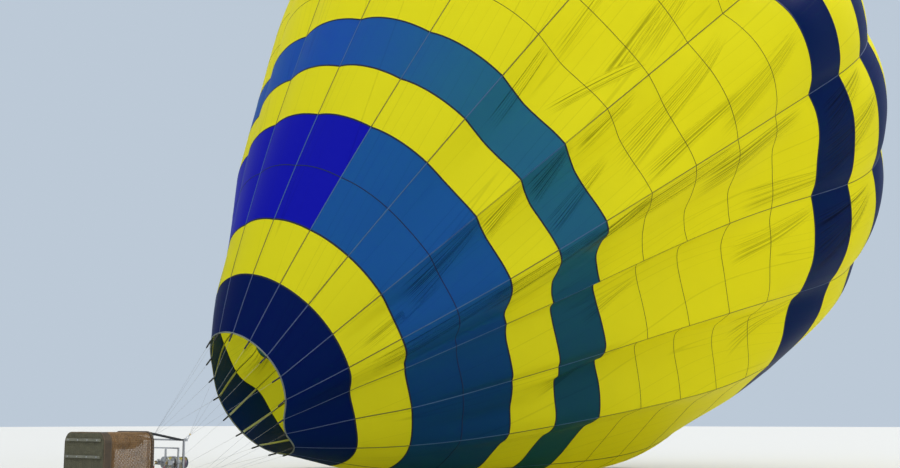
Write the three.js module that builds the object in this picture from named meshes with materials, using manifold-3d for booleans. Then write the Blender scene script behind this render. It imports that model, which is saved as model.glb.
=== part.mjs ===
// Hot air balloon during inflation: the envelope leans up and away from its basket,
// which lies on its side on the ground with its burner pointing into the mouth.
// Millimetres, +Z up. The origin is the envelope's centre of lift, on its axis.

import * as THREE from "three";
import { mergeVertices } from "three/addons/utils/BufferGeometryUtils.js";
import Module from "manifold-3d";

const wasm = await Module();
wasm.setup();

// Gaps between pieces that touch, round a piece that is let into another, and round a pin
const SEAT_GAP = 0.3;
const SEAT_TOOL = 0.5;
const RUNNING_GAP = 0.6;

// Envelope: gores run from the mouth to the crown, and rows of cloth go round it
const GORES = 18;
const ROW_LENGTH = 1462;
const MOUTH_RADIUS = 1600;
const MOUTH_HEIGHT = 2195;
const LEAN = 34.6;
const FIRST_TAPE_ANGLE = -9.9;
const LIFT_STATION = 16000;
const SHELL = 10;
const HOLE_ROW = 21;
const TALLNESS = 0.052;
const COLUMNS_PER_GORE = 3;
const HEM_RADIUS = 15;

// Slope of the cloth to the envelope's axis: row, degrees
const SLOPES = [
  [0, 37.4], [4, 31.3], [8, 27.9], [10, 17.7], [12, 10.4], [14, -16.6], [16, -36.9],
  [18, -48], [20, -68], [22, -80],
];

// How far a gore swells between its tapes: row, share of the gore's width
const SWELLING = [
  [0, 0], [3, 0.04], [6, 0.055], [8, 0.08], [11, 0.11], [14, 0.075], [18, 0.06], [22, 0.02],
];

// Slack gores hang hollow below and swell towards the shoulder: for a gore, outward of its
// tapes at each row, at a third and at two thirds across. The far side mirrors the near one
const HOLLOWS = {
  3: [
    [2, 0, 0], [4, -200, -200], [5, -400, -350], [7, -420, -320], [8, -80, -80], [9, 140, 140],
    [10, 340, 340], [12, 400, 400], [14, 240, 240],
  ],
  4: [
    [1, 0, 0], [2, -220, -180], [4, -400, -300], [5, -540, -400], [6, -550, -480],
    [7, -450, -400], [8, -240, -200], [9, 220, 240], [10, 480, 500], [11, 600, 580],
    [12, 460, 460], [14, 240, 240],
  ],
  5: [
    [1, 0, 0], [2, 20, -40], [4, -200, -280], [5, -280, -420], [6, -520, -600],
    [7, -560, -500], [8, -420, -550], [9, -280, -440], [10, -320, -240], [11, 120, 60],
    [12, 200, 180], [14, 220, 220],
  ],
  6: [
    [2, 0, 0], [4, 20, 100], [5, -50, 60], [6, -180, 20], [7, -280, -120], [8, -380, -280],
    [9, -280, -200], [10, 80, 50], [11, 250, 270], [12, 260, 260], [14, 220, 220],
  ],
  7: [
    [2, 0, 0], [4, -60, -140], [5, -280, -240], [6, -540, -270], [7, -660, -500],
    [8, -680, -660], [9, -580, -600], [10, -520, -400], [11, -200, -60], [12, 80, 80],
    [14, 200, 200],
  ],
  8: [
    [2, 0, 0], [5, -220, -200], [7, -400, -360], [9, -380, -340], [11, -60, 0],
    [14, 180, 180],
  ],
};
const ROWS_PAST_HOLLOWS = 3;

// The part-filled envelope hangs slack below: degrees from the top, swing, sag, outward
const SLACK = [
  [0, 0, 0, 0], [70, 0, 0, 0], [93, -3.2, 190, 0], [113, -4, -150, -940],
  [133, -5.2, 160, -610], [153, -9, 590, -220], [180, 0, 890, -140],
];

// How much of that slack each row has: row, share
const SLACK_ROWS = [[0, 0], [2, 0.5], [5, 0.85], [9, 1], [13, 0.1], [17, 0.15], [21, 0]];

// The mouth is drawn in at its sides: degrees round, outward at rows 0, 1 and 2
const MOUTH_SIDES = [
  [-180, 0, 0, 0], [-150, -20, -220, -300], [-120, -80, -460, -740], [-90, -140, -420, -860],
  [-60, -220, -240, -540], [-25, -40, 0, -60], [50, 0, 0, 0], [70, -30, -50, -50],
  [90, -80, -140, -180], [110, -120, -180, -60], [130, -100, -120, 0], [150, 0, 0, 0],
  [180, 0, 0, 0],
];

// Its hem is pulled towards the basket: degrees round, how far along the cloth
const MOUTH_REACH = [
  [-180, 0], [-120, 100], [-60, -100], [-30, -170], [-10, -100], [30, -30], [50, 20],
  [70, 100], [90, 250], [110, 420], [130, 420], [150, 200], [180, 0],
];
const REACH_ROWS = [[0, 1], [1, 0.1], [2, 0]];

// Bands of coloured cloth: name, first row, last row, first gore, last gore, colour
const YELLOW = 0xd6cf2a;
const NAVY = 0x0a1446;
const BLUE = 0x23508c;
const ROYAL = 0x15158f;
const TEAL = 0x2a6577;
const BANDS = [
  ["envelope_navy_mouth", 0, 1, 0, GORES, NAVY],
  ["envelope_yellow_lower", 1, 2, 0, GORES, YELLOW],
  ["envelope_blue", 2, 4, 2, GORES - 4, BLUE],
  ["envelope_royal_panel", 2, 4, GORES - 4, GORES + 2, ROYAL],
  ["envelope_yellow_middle", 4, 5, 0, GORES, YELLOW],
  ["envelope_teal", 5, 6, 0, GORES, TEAL],
  ["envelope_yellow_main_lower", 6, 8, 0, GORES, YELLOW],
  ["envelope_yellow_main_upper", 8, 11, 0, GORES, YELLOW],
  ["envelope_navy_shoulder", 11, 12, 0, GORES, NAVY],
  ["envelope_yellow_shoulder", 12, 13, 0, GORES, YELLOW],
  ["envelope_navy_upper", 13, 14, 0, GORES, NAVY],
  ["envelope_yellow_crown_lower", 14, 17, 0, GORES, YELLOW],
  ["envelope_yellow_crown_upper", 17, HOLE_ROW, 0, GORES, YELLOW],
];

// Parachute valve that closes the crown; its outline is share of its radius, rise
const VALVE = { overlap: 260, cloth: 12, pressed: 2.2 };
const VALVE_OUTLINE = [[1, 0], [0.85, 160], [0.6, 225], [0, 260]];
const CROWN_RING = { radius: 190, bar: 14, tape: 12, lift: 330 };

// Basket, in its own upright frame: x across, y along, z up from the floor's underside
const BASKET = { width: 1350, length: 1500, height: 1150, corner: 240, wall: 32, floor: 24 };
const BASKET_DISTANCE = 4500;
const HIDE = { height: 190, thickness: 4 };
const RIM = { width: 76, height: 60 };
const RUNNER = { width: 60, height: 45, inset: 100, places: [-516, -172, 172, 516] };
const CYLINDER = { radius: 148, height: 900, collar: 95, collarHeight: 90, collarWall: 8, clear: 22 };

// Burner frame and its gimbal, in the basket's frame
const FRAME = { width: 1000, length: 1320, tube: 38, z: 2030 };
const LUG = { size: 60, lift: 28 };
const BEARING = { size: 50, height: 48, inset: 39 };
const RING = { width: 640, length: 940, tube: 30 };
const PIN = { radius: 8, sides: 16, bite: 15 };
const CARRIER = { bar: 40, barHeight: 30, arm: 60, armHeight: 24, play: 10 };
const VALVE_BLOCK = { width: 90, length: 110, height: 120, drop: 40 };
const CAN = { radius: 128, height: 300, wall: 3, offset: 190, lift: 60, neck: 40, jet: 30 };
const UPRIGHT = { radius: 26, inset: 80, sides: 10 };

// Rigging between the burner frame and the mouth
const WIRE_RADIUS = 4;
const SLEEVE = { radius: 18, length: 300 };
const THIMBLE_RADIUS = 26;
const KARABINER = { length: 120, width: 62, bar: 6, lift: 24 };

const WICKER = { color: 0x3d4238, roughness: 0.8, metalness: 0 };
const LEATHER = { color: 0x6d6650, roughness: 0.6, metalness: 0 };
const WOOD = { color: 0x8a6b42, roughness: 0.7, metalness: 0 };
const STEEL = { color: 0xb9bcbd, roughness: 0.3, metalness: 1 };
const BLACK = { color: 0x16171a, roughness: 0.7, metalness: 0 };
const TANK = { color: 0xc9cbc8, roughness: 0.35, metalness: 1 };
const WEBBING = { color: 0xb9c05a, roughness: 0.7, metalness: 0 };
const clothFinish = (color) => ({ color, roughness: 0.55, metalness: 0 });

const radians = THREE.MathUtils.degToRad;

// Value of a table at a place, along a smooth curve through its lines
function lookUp(table, place, column = 1) {
  const last = table.length - 1;
  const within = THREE.MathUtils.clamp(place, table[0][0], table[last][0]);
  let i = 0;
  while (i < last - 1 && within > table[i + 1][0]) i += 1;
  const slope = (k) => {
    const [before, after] = [table[Math.max(k - 1, 0)], table[Math.min(k + 1, last)]];
    return (after[column] - before[column]) / (after[0] - before[0]);
  };
  const [low, high] = [table[i], table[i + 1]];
  const span = high[0] - low[0];
  const t = (within - low[0]) / span;
  return (2 * t ** 3 - 3 * t ** 2 + 1) * low[column]
    + (t ** 3 - 2 * t ** 2 + t) * span * slope(i)
    + (3 * t ** 2 - 2 * t ** 3) * high[column]
    + (t ** 3 - t ** 2) * span * slope(i + 1);
}

// Meridian of the envelope: distance along the axis and radius at each tenth of a row
const STEPS_PER_ROW = 10;
const meridian = [{ station: 0, radius: MOUTH_RADIUS }];
for (let i = 1; i <= (HOLE_ROW + 1) * STEPS_PER_ROW; i++) {
  const slope = radians(lookUp(SLOPES, (i - 0.5) / STEPS_PER_ROW));
  const step = ROW_LENGTH / STEPS_PER_ROW;
  const last = meridian.at(-1);
  meridian.push({
    station: last.station + step * Math.cos(slope),
    radius: last.radius + step * Math.sin(slope),
  });
}

function meridianAt(row) {
  const place = row * STEPS_PER_ROW;
  const i = Math.min(Math.floor(place), meridian.length - 2);
  const [low, high] = [meridian[i], meridian[i + 1]];
  return {
    station: low.station + (place - i) * (high.station - low.station),
    radius: low.radius + (place - i) * (high.radius - low.radius),
  };
}

// Axis of the envelope, its upper side and its near side
const axis = new THREE.Vector3(Math.cos(radians(LEAN)), 0, Math.sin(radians(LEAN)));
const upperSide = new THREE.Vector3(-axis.z, 0, axis.x);
const nearSide = new THREE.Vector3(0, -1, 0);
const mouthCentre = axis.clone().multiplyScalar(-LIFT_STATION);
const ground = mouthCentre.z - MOUTH_HEIGHT;

function onAxis(station, up = 0, near = 0) {
  return mouthCentre.clone()
    .addScaledVector(axis, station)
    .addScaledVector(upperSide, up)
    .addScaledVector(nearSide, near);
}

// Angle of a gore's edge round from the top, between -180 and 180 degrees
function goreAngle(gore) {
  const angle = FIRST_TAPE_ANGLE + (gore * 360) / GORES;
  return ((angle + 540) % 360) - 180;
}

// How far the cloth stands out of its tapes' surface
function hang(row, gore) {
  const index = ((Math.floor(gore) % GORES) + GORES) % GORES;
  const across = gore - Math.floor(gore);
  const goreWidth = (2 * Math.PI * meridianAt(row).radius) / GORES;
  const swell = lookUp(SWELLING, row) * goreWidth * 4 * across * (1 - across);
  const farSide = index > GORES / 2;
  const table = HOLLOWS[farSide ? GORES - index : index];
  if (!table) return swell;
  const column = (farSide ? 1 - across : across) * COLUMNS_PER_GORE;
  const heights = [0, lookUp(table, row, 1), lookUp(table, row, 2), 0];
  const i = Math.min(Math.floor(column), COLUMNS_PER_GORE - 1);
  const hollow = THREE.MathUtils.lerp(heights[i], heights[i + 1], column - i);
  const past = THREE.MathUtils.clamp((row - table.at(-1)[0]) / ROWS_PAST_HOLLOWS, 0, 1);
  return THREE.MathUtils.lerp(hollow, swell, past);
}

// How far the mouth's first rows are drawn in or out at an angle round
const MOUTH_ROWS = [0, 1, 2, 4];
function drawnIn(row, angle) {
  const sides = [1, 2, 3].map((column) => lookUp(MOUTH_SIDES, angle, column));
  return lookUp(MOUTH_ROWS.map((mouthRow, i) => [mouthRow, sides[i] ?? 0]), row);
}

// A point of the cloth: row from the mouth, gore round from the top, depth into the cloth
function clothPoint(row, gore, depth = 0) {
  const { station, radius } = meridianAt(row);
  const slope = radians(lookUp(SLOPES, row));
  const angle = goreAngle(gore);
  const fromTop = Math.abs(angle);
  const share = lookUp(SLACK_ROWS, row);
  const swing = radians(angle + Math.sign(angle) * share * lookUp(SLACK, fromTop, 1));
  const sag = share * lookUp(SLACK, fromTop, 2);
  const slackRadius = radius + share * lookUp(SLACK, fromTop, 3) + drawnIn(row, angle);
  const reach = lookUp(REACH_ROWS, row) * lookUp(MOUTH_REACH, angle);
  const height = hang(row, gore) - depth;
  const outward = slackRadius + height * Math.cos(slope) - reach * Math.sin(slope);
  return onAxis(
    station - height * Math.sin(slope) - reach * Math.cos(slope),
    outward * Math.cos(swing) * (1 + TALLNESS),
    outward * Math.sin(swing) * (1 - TALLNESS),
  ).add(new THREE.Vector3(0, 0, -sag));
}

// Closed shell between two rows and two gores, all the way round if they meet
function clothShell(firstRow, lastRow, firstGore, lastGore) {
  const whole = lastGore - firstGore === GORES;
  const rowGap = SEAT_GAP / 2 / ROW_LENGTH;
  const goreGap = whole ? 0 : SEAT_GAP / 2 / MOUTH_RADIUS;
  const rowCount = lastRow - firstRow;
  const columnCount = (lastGore - firstGore) * COLUMNS_PER_GORE;
  const columns = whole ? columnCount : columnCount + 1;
  const positions = [];
  for (const depth of [0, SHELL]) {
    for (let i = 0; i <= rowCount; i++) {
      const row = THREE.MathUtils.clamp(firstRow + i, firstRow + rowGap, lastRow - rowGap);
      for (let j = 0; j < columns; j++) {
        const place = firstGore + j / COLUMNS_PER_GORE;
        const gore = THREE.MathUtils.clamp(place, firstGore + goreGap, lastGore - goreGap);
        positions.push(...clothPoint(row, gore, depth).toArray());
      }
    }
  }
  const at = (inside, i, j) => (inside * (rowCount + 1) + i) * columns + (j % columns);
  const faces = [];
  const quad = (a, b, c, d) => faces.push(a, b, c, a, c, d);
  for (let j = 0; j < columnCount; j++) {
    for (let i = 0; i < rowCount; i++) {
      quad(at(0, i, j), at(0, i, j + 1), at(0, i + 1, j + 1), at(0, i + 1, j));
      quad(at(1, i, j), at(1, i + 1, j), at(1, i + 1, j + 1), at(1, i, j + 1));
    }
    quad(at(0, 0, j), at(1, 0, j), at(1, 0, j + 1), at(0, 0, j + 1));
    const end = rowCount;
    quad(at(0, end, j), at(0, end, j + 1), at(1, end, j + 1), at(1, end, j));
  }
  if (!whole) {
    for (let i = 0; i < rowCount; i++) {
      const end = columnCount;
      quad(at(0, i, 0), at(0, i + 1, 0), at(1, i + 1, 0), at(1, i, 0));
      quad(at(0, i, end), at(1, i, end), at(1, i + 1, end), at(0, i + 1, end));
    }
  }
  const geometry = new THREE.BufferGeometry();
  geometry.setAttribute("position", new THREE.Float32BufferAttribute(positions, 3));
  geometry.setIndex(faces);
  return geometry;
}

// Booleans
function toSolid(geometry) {
  const bare = geometry.clone();
  for (const name of Object.keys(bare.attributes)) {
    if (name !== "position") bare.deleteAttribute(name);
  }
  const merged = mergeVertices(bare, 1e-3);
  return new wasm.Manifold(new wasm.Mesh({
    numProp: 3,
    vertProperties: new Float32Array(merged.attributes.position.array),
    triVerts: new Uint32Array(merged.index.array),
  }));
}

function toGeometry(solid) {
  const mesh = solid.getMesh();
  const geometry = new THREE.BufferGeometry();
  geometry.setAttribute("position", new THREE.Float32BufferAttribute(mesh.vertProperties, 3));
  geometry.setIndex(Array.from(mesh.triVerts));
  return geometry;
}

// The same faces with shared vertices
function tidied(geometry) {
  return toGeometry(toSolid(geometry));
}

function join(...geometries) {
  return toGeometry(geometries.map(toSolid).reduce((whole, next) => whole.add(next)));
}

function cut(geometry, ...tools) {
  const left = tools.map(toSolid).reduce((whole, tool) => whole.subtract(tool), toSolid(geometry));
  const pieces = left.decompose().toSorted((a, b) => b.volume() - a.volume());
  return toGeometry(pieces[0]);
}

// Simple shapes
function box(x, y, z, cx = 0, cy = 0, cz = 0) {
  return new THREE.BoxGeometry(x, y, z).translate(cx, cy, cz);
}

function roundSection(radius) {
  return new THREE.Shape().absarc(0, 0, radius, 0, 2 * Math.PI);
}

// Round bar between two points
function bar(start, end, radius, sides = 8) {
  const along = end.clone().sub(start);
  const geometry = new THREE.CylinderGeometry(radius, radius, along.length(), sides);
  const turn = new THREE.Quaternion().setFromUnitVectors(
    new THREE.Vector3(0, 1, 0), along.clone().normalize(),
  );
  return geometry.applyQuaternion(turn).translate(...start.clone().add(end).multiplyScalar(0.5));
}

// Solid of revolution about +Z from a closed outline of radius, height
function turned(outline, sides) {
  const points = outline.map(([x, y]) => new THREE.Vector2(x, y));
  return tidied(new THREE.LatheGeometry(points, sides).rotateX(Math.PI / 2));
}

// Rectangle with round corners, centred
function roundedRectangle(width, length, corner) {
  const [x, y] = [width / 2, length / 2];
  const shape = new THREE.Shape();
  shape.moveTo(-x + corner, -y);
  shape.lineTo(x - corner, -y);
  shape.absarc(x - corner, -y + corner, corner, -Math.PI / 2, 0);
  shape.lineTo(x, y - corner);
  shape.absarc(x - corner, y - corner, corner, 0, Math.PI / 2);
  shape.lineTo(-x + corner, y);
  shape.absarc(-x + corner, y - corner, corner, Math.PI / 2, Math.PI);
  shape.lineTo(-x, -y + corner);
  shape.absarc(-x + corner, -y + corner, corner, Math.PI, 1.5 * Math.PI);
  return shape;
}

function slab(shape, low, high) {
  return new THREE.ExtrudeGeometry(shape, {
    depth: high - low, bevelEnabled: false, curveSegments: 4,
  }).translate(0, 0, low);
}

// Upright wall that goes round the basket, this far outside the basket's own outline
function hoop(outside, thickness, low, high) {
  const { width, length, corner } = BASKET;
  const outline = (grow) => roundedRectangle(width + 2 * grow, length + 2 * grow, corner + grow);
  const shape = outline(outside);
  shape.holes.push(outline(outside - thickness));
  return slab(shape, low, high);
}

// Four-sided frame of square tube lying flat at a height
function tubeFrame(width, length, tube, z) {
  const outer = box(width + tube, length + tube, tube, 0, 0, z);
  const inner = box(width - tube, length - tube, tube * 2, 0, 0, z);
  return cut(outer, inner);
}

// Scene graph
const balloon = new THREE.Group();
const basket = new THREE.Group();
balloon.add(basket);

// The basket lies on its long side, on its rim, so its own upward direction points to the mouth
const rimOverhang = (RIM.width - BASKET.wall) / 2;
basket.rotation.set(0, Math.PI / 2, 0);
basket.position.set(
  mouthCentre.x - BASKET_DISTANCE, 0, ground + BASKET.width / 2 + rimOverhang,
);
basket.updateMatrixWorld(true);
const toBasket = basket.matrixWorld.clone().invert();

function add(parent, name, geometry, finish) {
  const mesh = new THREE.Mesh(geometry, new THREE.MeshStandardMaterial(finish));
  mesh.name = name;
  parent.add(mesh);
  return mesh;
}

// Envelope
for (const [name, firstRow, lastRow, firstGore, lastGore, color] of BANDS) {
  add(balloon, name, clothShell(firstRow, lastRow, firstGore, lastGore), clothFinish(color));
}

// Hem rope round the mouth, set forward so that it clears the slanting edge of the cloth
const HEM_CLEAR = 3.4;
const hemDrop = HEM_RADIUS + HEM_CLEAR + (SHELL / 2) * Math.sin(radians(SLOPES[0][1]));
const hemPoint = (gore, further = 0) => clothPoint(0, gore, SHELL / 2)
  .addScaledVector(axis, -hemDrop - further);
const hemPath = new THREE.CatmullRomCurve3(
  Array.from({ length: GORES * COLUMNS_PER_GORE }, (_, i) => hemPoint(i / COLUMNS_PER_GORE)), true,
);
function hemTube(radius) {
  return tidied(new THREE.ExtrudeGeometry(roundSection(radius), {
    steps: GORES * COLUMNS_PER_GORE, extrudePath: hemPath, curveSegments: 3,
  }));
}
add(balloon, "mouth_hem", hemTube(HEM_RADIUS), WEBBING);

// Crown ring, with the load tapes that cross the hole to it
const holeEdge = meridianAt(HOLE_ROW);
const crownCentre = onAxis(holeEdge.station + CROWN_RING.lift);
const crownTapes = [new THREE.TorusGeometry(CROWN_RING.radius, CROWN_RING.bar, 6, GORES)
  .applyQuaternion(new THREE.Quaternion().setFromUnitVectors(new THREE.Vector3(0, 0, 1), axis))
  .translate(...crownCentre)];
for (let gore = 0; gore < GORES; gore++) {
  const edge = clothPoint(HOLE_ROW, gore, -CROWN_RING.tape - SEAT_TOOL);
  const inward = edge.clone().sub(crownCentre).projectOnPlane(axis).setLength(CROWN_RING.radius);
  crownTapes.push(bar(inward.add(crownCentre), edge, CROWN_RING.tape, 4));
}
add(balloon, "crown_ring", join(...crownTapes), BLACK);

// Parachute valve, seated from inside against the narrow way across the hole
const valveRadius = holeEdge.radius + VALVE.overlap;
const valveOutside = VALVE_OUTLINE
  .map(([share, rise]) => new THREE.Vector2(share * valveRadius, rise));
const valveInside = valveOutside.toReversed()
  .map((point) => new THREE.Vector2(point.x, point.y - VALVE.cloth));
const valve = add(balloon, "parachute_valve", tidied(
  new THREE.LatheGeometry([...valveInside, ...valveOutside], GORES * 2),
), clothFinish(YELLOW));
const seatRadius = holeEdge.radius * (1 - TALLNESS);
const knee = valveOutside[1];
const seatRise = (knee.y * (valveRadius - seatRadius)) / (valveRadius - knee.x);
valve.quaternion.setFromUnitVectors(new THREE.Vector3(0, 1, 0), axis);
valve.position.copy(onAxis(holeEdge.station - SHELL - seatRise + VALVE.pressed));

// Basket
const rimTop = BASKET.height + RIM.height;
add(basket, "basket_walls", hoop(0, BASKET.wall, BASKET.floor + SEAT_GAP, BASKET.height), WICKER);
add(basket, "basket_floor", slab(
  roundedRectangle(BASKET.width, BASKET.length, BASKET.corner), 0, BASKET.floor,
), WOOD);
add(basket, "basket_hide_band", hoop(
  HIDE.thickness + SEAT_GAP, HIDE.thickness, 0, HIDE.height,
), LEATHER);
add(basket, "basket_rim", hoop(
  rimOverhang, RIM.width, BASKET.height + SEAT_GAP, rimTop,
), LEATHER);
RUNNER.places.forEach((x, index) => {
  const runner = box(RUNNER.width, BASKET.length - 2 * RUNNER.inset, RUNNER.height);
  add(basket, `basket_runner_${index + 1}`, runner, WOOD)
    .position.set(x, 0, -SEAT_GAP - RUNNER.height / 2);
});

// Corners of the basket and of the burner frame, in order round
const corners = [[-1, -1], [-1, 1], [1, 1], [1, -1]];

// Fuel cylinders, one standing in each corner, with an open collar round its valve
function fuelCylinder() {
  const { radius, height, collar, collarHeight, collarWall } = CYLINDER;
  return turned([
    [0, 0], [radius - 20, 0], [radius, 25], [radius, height - 90], [collar, height - 10],
    [collar, height + collarHeight], [collar - collarWall, height + collarHeight],
    [collar - collarWall, height], [0, height],
  ], 14);
}
corners.forEach(([sx, sy], index) => {
  const inset = BASKET.wall + SEAT_GAP + CYLINDER.radius + CYLINDER.clear;
  add(basket, `fuel_cylinder_${index + 1}`, fuelCylinder(), TANK).position.set(
    sx * (BASKET.width / 2 - inset), sy * (BASKET.length / 2 - inset), BASKET.floor + SEAT_GAP,
  );
});

// Tapes whose wires go to a corner of the burner frame: those of the same quarter
function tapesOf([sx, sy]) {
  return Array.from({ length: GORES }, (_, gore) => gore).filter((gore) => {
    const angle = radians(goreAngle(gore));
    return Math.cos(angle) > 0 === sx < 0 && Math.sin(angle) > 0 === sy < 0;
  });
}

// Ring of a karabiner standing on its lower end, and the same ring made fat as a cutting tool
const karabinerHalf = KARABINER.length / 2 - KARABINER.bar;
const karabinerPath = new THREE.CatmullRomCurve3(Array.from({ length: 12 }, (_, i) => {
  const turn = (i / 12) * 2 * Math.PI;
  const halfWidth = KARABINER.width / 2 - KARABINER.bar;
  return new THREE.Vector3(Math.sin(turn) * halfWidth, 0, Math.cos(turn) * karabinerHalf);
}), true);
function karabinerRing(radius, turn, centre) {
  return tidied(new THREE.ExtrudeGeometry(
    roundSection(radius), { steps: 14, extrudePath: karabinerPath, curveSegments: 3 },
  )).applyQuaternion(turn).translate(...centre);
}

// Each corner's karabiner, and the fan of wires from its thimble to the ends of its tapes
const hemSeat = hemTube(HEM_RADIUS + SEAT_TOOL).applyMatrix4(toBasket);
const frameTop = FRAME.z + FRAME.tube / 2;
const rigging = corners.map((place) => {
  const [sx, sy] = place;
  const ends = tapesOf(place).map((gore) => hemPoint(gore, HEM_RADIUS / 2).applyMatrix4(toBasket));
  const mean = ends.reduce((sum, end) => sum.add(end), new THREE.Vector3())
    .divideScalar(ends.length);
  const foot = new THREE.Vector3(
    sx * FRAME.width / 2, sy * FRAME.length / 2, frameTop + KARABINER.lift,
  );
  const pull = mean.sub(foot).normalize();
  const turn = new THREE.Quaternion().setFromUnitVectors(new THREE.Vector3(0, 0, 1), pull);
  const centre = foot.clone().addScaledVector(pull, karabinerHalf);
  const seat = karabinerRing(KARABINER.bar + SEAT_TOOL, turn, centre);
  const thimble = centre.clone().addScaledVector(pull, karabinerHalf);
  const wires = ends.flatMap((end) => {
    const back = thimble.clone().sub(end).normalize();
    const sleeveEnd = end.clone().addScaledVector(back, SLEEVE.length);
    return [
      bar(thimble, sleeveEnd.clone().lerp(end, 0.3), WIRE_RADIUS, 4),
      bar(end, sleeveEnd, SLEEVE.radius, 6),
    ];
  });
  const eye = new THREE.SphereGeometry(THIMBLE_RADIUS, 10, 6).translate(...thimble);
  return {
    karabiner: karabinerRing(KARABINER.bar, turn, centre),
    wires: cut(join(eye, ...wires), seat, hemSeat),
    seat,
  };
});
rigging.forEach(({ karabiner, wires }, index) => {
  add(basket, `karabiner_${index + 1}`, karabiner, STEEL);
  add(basket, `flying_wires_${index + 1}`, wires, BLACK);
});

// Burner frame: square tube with a lug at each corner and a bearing for each outer pin
const acrossPin = (x, y) => new THREE.Vector3(x, y, FRAME.z);
const lugs = corners.map(([sx, sy]) => box(
  LUG.size, LUG.size, LUG.size, sx * FRAME.width / 2, sy * FRAME.length / 2, frameTop + LUG.lift,
));
const outerBearings = [-1, 1].map((sy) => box(
  BEARING.size, BEARING.size, BEARING.height, 0, sy * (FRAME.length / 2 - BEARING.inset), FRAME.z,
));
const outerPinHole = bar(
  acrossPin(0, -FRAME.length / 2 + PIN.bite - 5), acrossPin(0, FRAME.length / 2 - PIN.bite + 5),
  PIN.radius + RUNNING_GAP, PIN.sides,
);
add(basket, "burner_frame", cut(
  join(tubeFrame(FRAME.width, FRAME.length, FRAME.tube, FRAME.z), ...lugs, ...outerBearings),
  outerPinHole, ...rigging.map(({ seat }) => seat),
), STEEL);

// Gimbal ring: turns on two pins across the frame, and is bored for the inner pins
const ringEnd = (RING.length + RING.tube) / 2;
const outerPins = [-1, 1].map((sy) => bar(
  acrossPin(0, sy * (ringEnd - 5)), acrossPin(0, sy * (FRAME.length / 2 - PIN.bite)),
  PIN.radius, PIN.sides,
));
const innerPinHole = bar(
  acrossPin(-RING.width, 0), acrossPin(RING.width, 0), PIN.radius + RUNNING_GAP, PIN.sides,
);
add(basket, "gimbal_ring", cut(
  join(tubeFrame(RING.width, RING.length, RING.tube, FRAME.z), ...outerPins), innerPinHole,
), STEEL);

// Burner carrier: a cross bar on the inner pins, with an arm that has a valve block at each end
const ringInside = RING.width / 2 - RING.tube / 2;
const innerPins = [-1, 1].map((sx) => bar(
  acrossPin(sx * (ringInside - 2 * PIN.bite), 0), acrossPin(sx * (ringInside + RING.tube), 0),
  PIN.radius, PIN.sides,
));
const crossBar = box(
  2 * (ringInside - CARRIER.play), CARRIER.bar, CARRIER.barHeight, 0, 0, FRAME.z,
);
const arm = box(
  CARRIER.arm, 2 * CAN.offset + VALVE_BLOCK.length, CARRIER.armHeight, 0, 0, FRAME.z,
);
const valveBlocks = [-1, 1].map((sy) => box(
  VALVE_BLOCK.width, VALVE_BLOCK.length, VALVE_BLOCK.height,
  0, sy * CAN.offset, FRAME.z - VALVE_BLOCK.drop,
));
add(basket, "burner_carrier", join(crossBar, arm, ...valveBlocks, ...innerPins), STEEL);

// Burner cans, open at the top, each standing on its valve block by a neck
function burnerCan() {
  const { radius, height, wall, lift, neck, jet } = CAN;
  return turned([
    [0, 0], [neck, 0], [neck, lift - 10], [radius, lift], [radius, height + lift],
    [radius - wall, height + lift], [radius - wall, lift + wall], [jet, lift + wall],
    [0, lift + wall],
  ], 18);
}
const blockTop = FRAME.z - VALVE_BLOCK.drop + VALVE_BLOCK.height / 2;
for (const [side, sy] of [["near", 1], ["far", -1]]) {
  add(basket, `burner_can_${side}`, burnerCan(), STEEL)
    .position.set(0, sy * CAN.offset, blockTop + SEAT_GAP);
}

// Uprights in their padded covers, from the rim to the frame's corners
corners.forEach(([sx, sy], index) => {
  const foot = new THREE.Vector3(
    sx * (BASKET.width - BASKET.wall) / 2, sy * (BASKET.length / 2 - BASKET.corner),
    rimTop + SEAT_GAP,
  );
  const head = new THREE.Vector3(
    sx * FRAME.width / 2, sy * (FRAME.length / 2 - UPRIGHT.inset),
    FRAME.z - FRAME.tube / 2 - SEAT_GAP,
  );
  const beyond = head.clone().sub(foot).multiplyScalar(0.1);
  const rod = bar(
    foot.clone().sub(beyond), head.clone().add(beyond), UPRIGHT.radius, UPRIGHT.sides,
  );
  const keep = box(
    2 * BASKET.width, 2 * BASKET.length, head.z - foot.z, 0, 0, (head.z + foot.z) / 2,
  );
  const upright = toGeometry(toSolid(rod).intersect(toSolid(keep)));
  add(basket, `upright_${index + 1}`, upright, BLACK);
});

export default balloon;
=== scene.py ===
# Finish of the hot air balloon: cloth, tapes, rigging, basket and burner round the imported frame.
# Metres, +Z up. The origin is the envelope's centre of lift, on its axis.
import math

import bmesh
import bpy
import numpy as np
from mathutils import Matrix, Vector


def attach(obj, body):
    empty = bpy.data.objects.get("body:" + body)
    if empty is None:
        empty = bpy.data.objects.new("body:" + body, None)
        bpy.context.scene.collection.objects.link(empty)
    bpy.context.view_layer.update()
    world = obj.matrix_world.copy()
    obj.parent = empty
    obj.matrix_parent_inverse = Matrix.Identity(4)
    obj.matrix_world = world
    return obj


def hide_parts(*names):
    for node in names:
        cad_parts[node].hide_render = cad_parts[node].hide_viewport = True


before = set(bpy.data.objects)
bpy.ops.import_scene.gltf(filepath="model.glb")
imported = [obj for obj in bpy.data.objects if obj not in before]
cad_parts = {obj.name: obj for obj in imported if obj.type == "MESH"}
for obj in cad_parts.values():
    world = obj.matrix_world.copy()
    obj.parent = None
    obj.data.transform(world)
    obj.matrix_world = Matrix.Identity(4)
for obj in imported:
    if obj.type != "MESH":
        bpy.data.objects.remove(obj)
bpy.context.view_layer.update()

# Envelope, as the frame has it
GORES = 18
ROW_LENGTH = 1.462
MOUTH_RADIUS = 1.6
MOUTH_HEIGHT = 2.195
LEAN = math.radians(34.6)
FIRST_TAPE_ANGLE = -9.9
LIFT_STATION = 16.0
HOLE_ROW = 21
TALLNESS = 0.052

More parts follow.
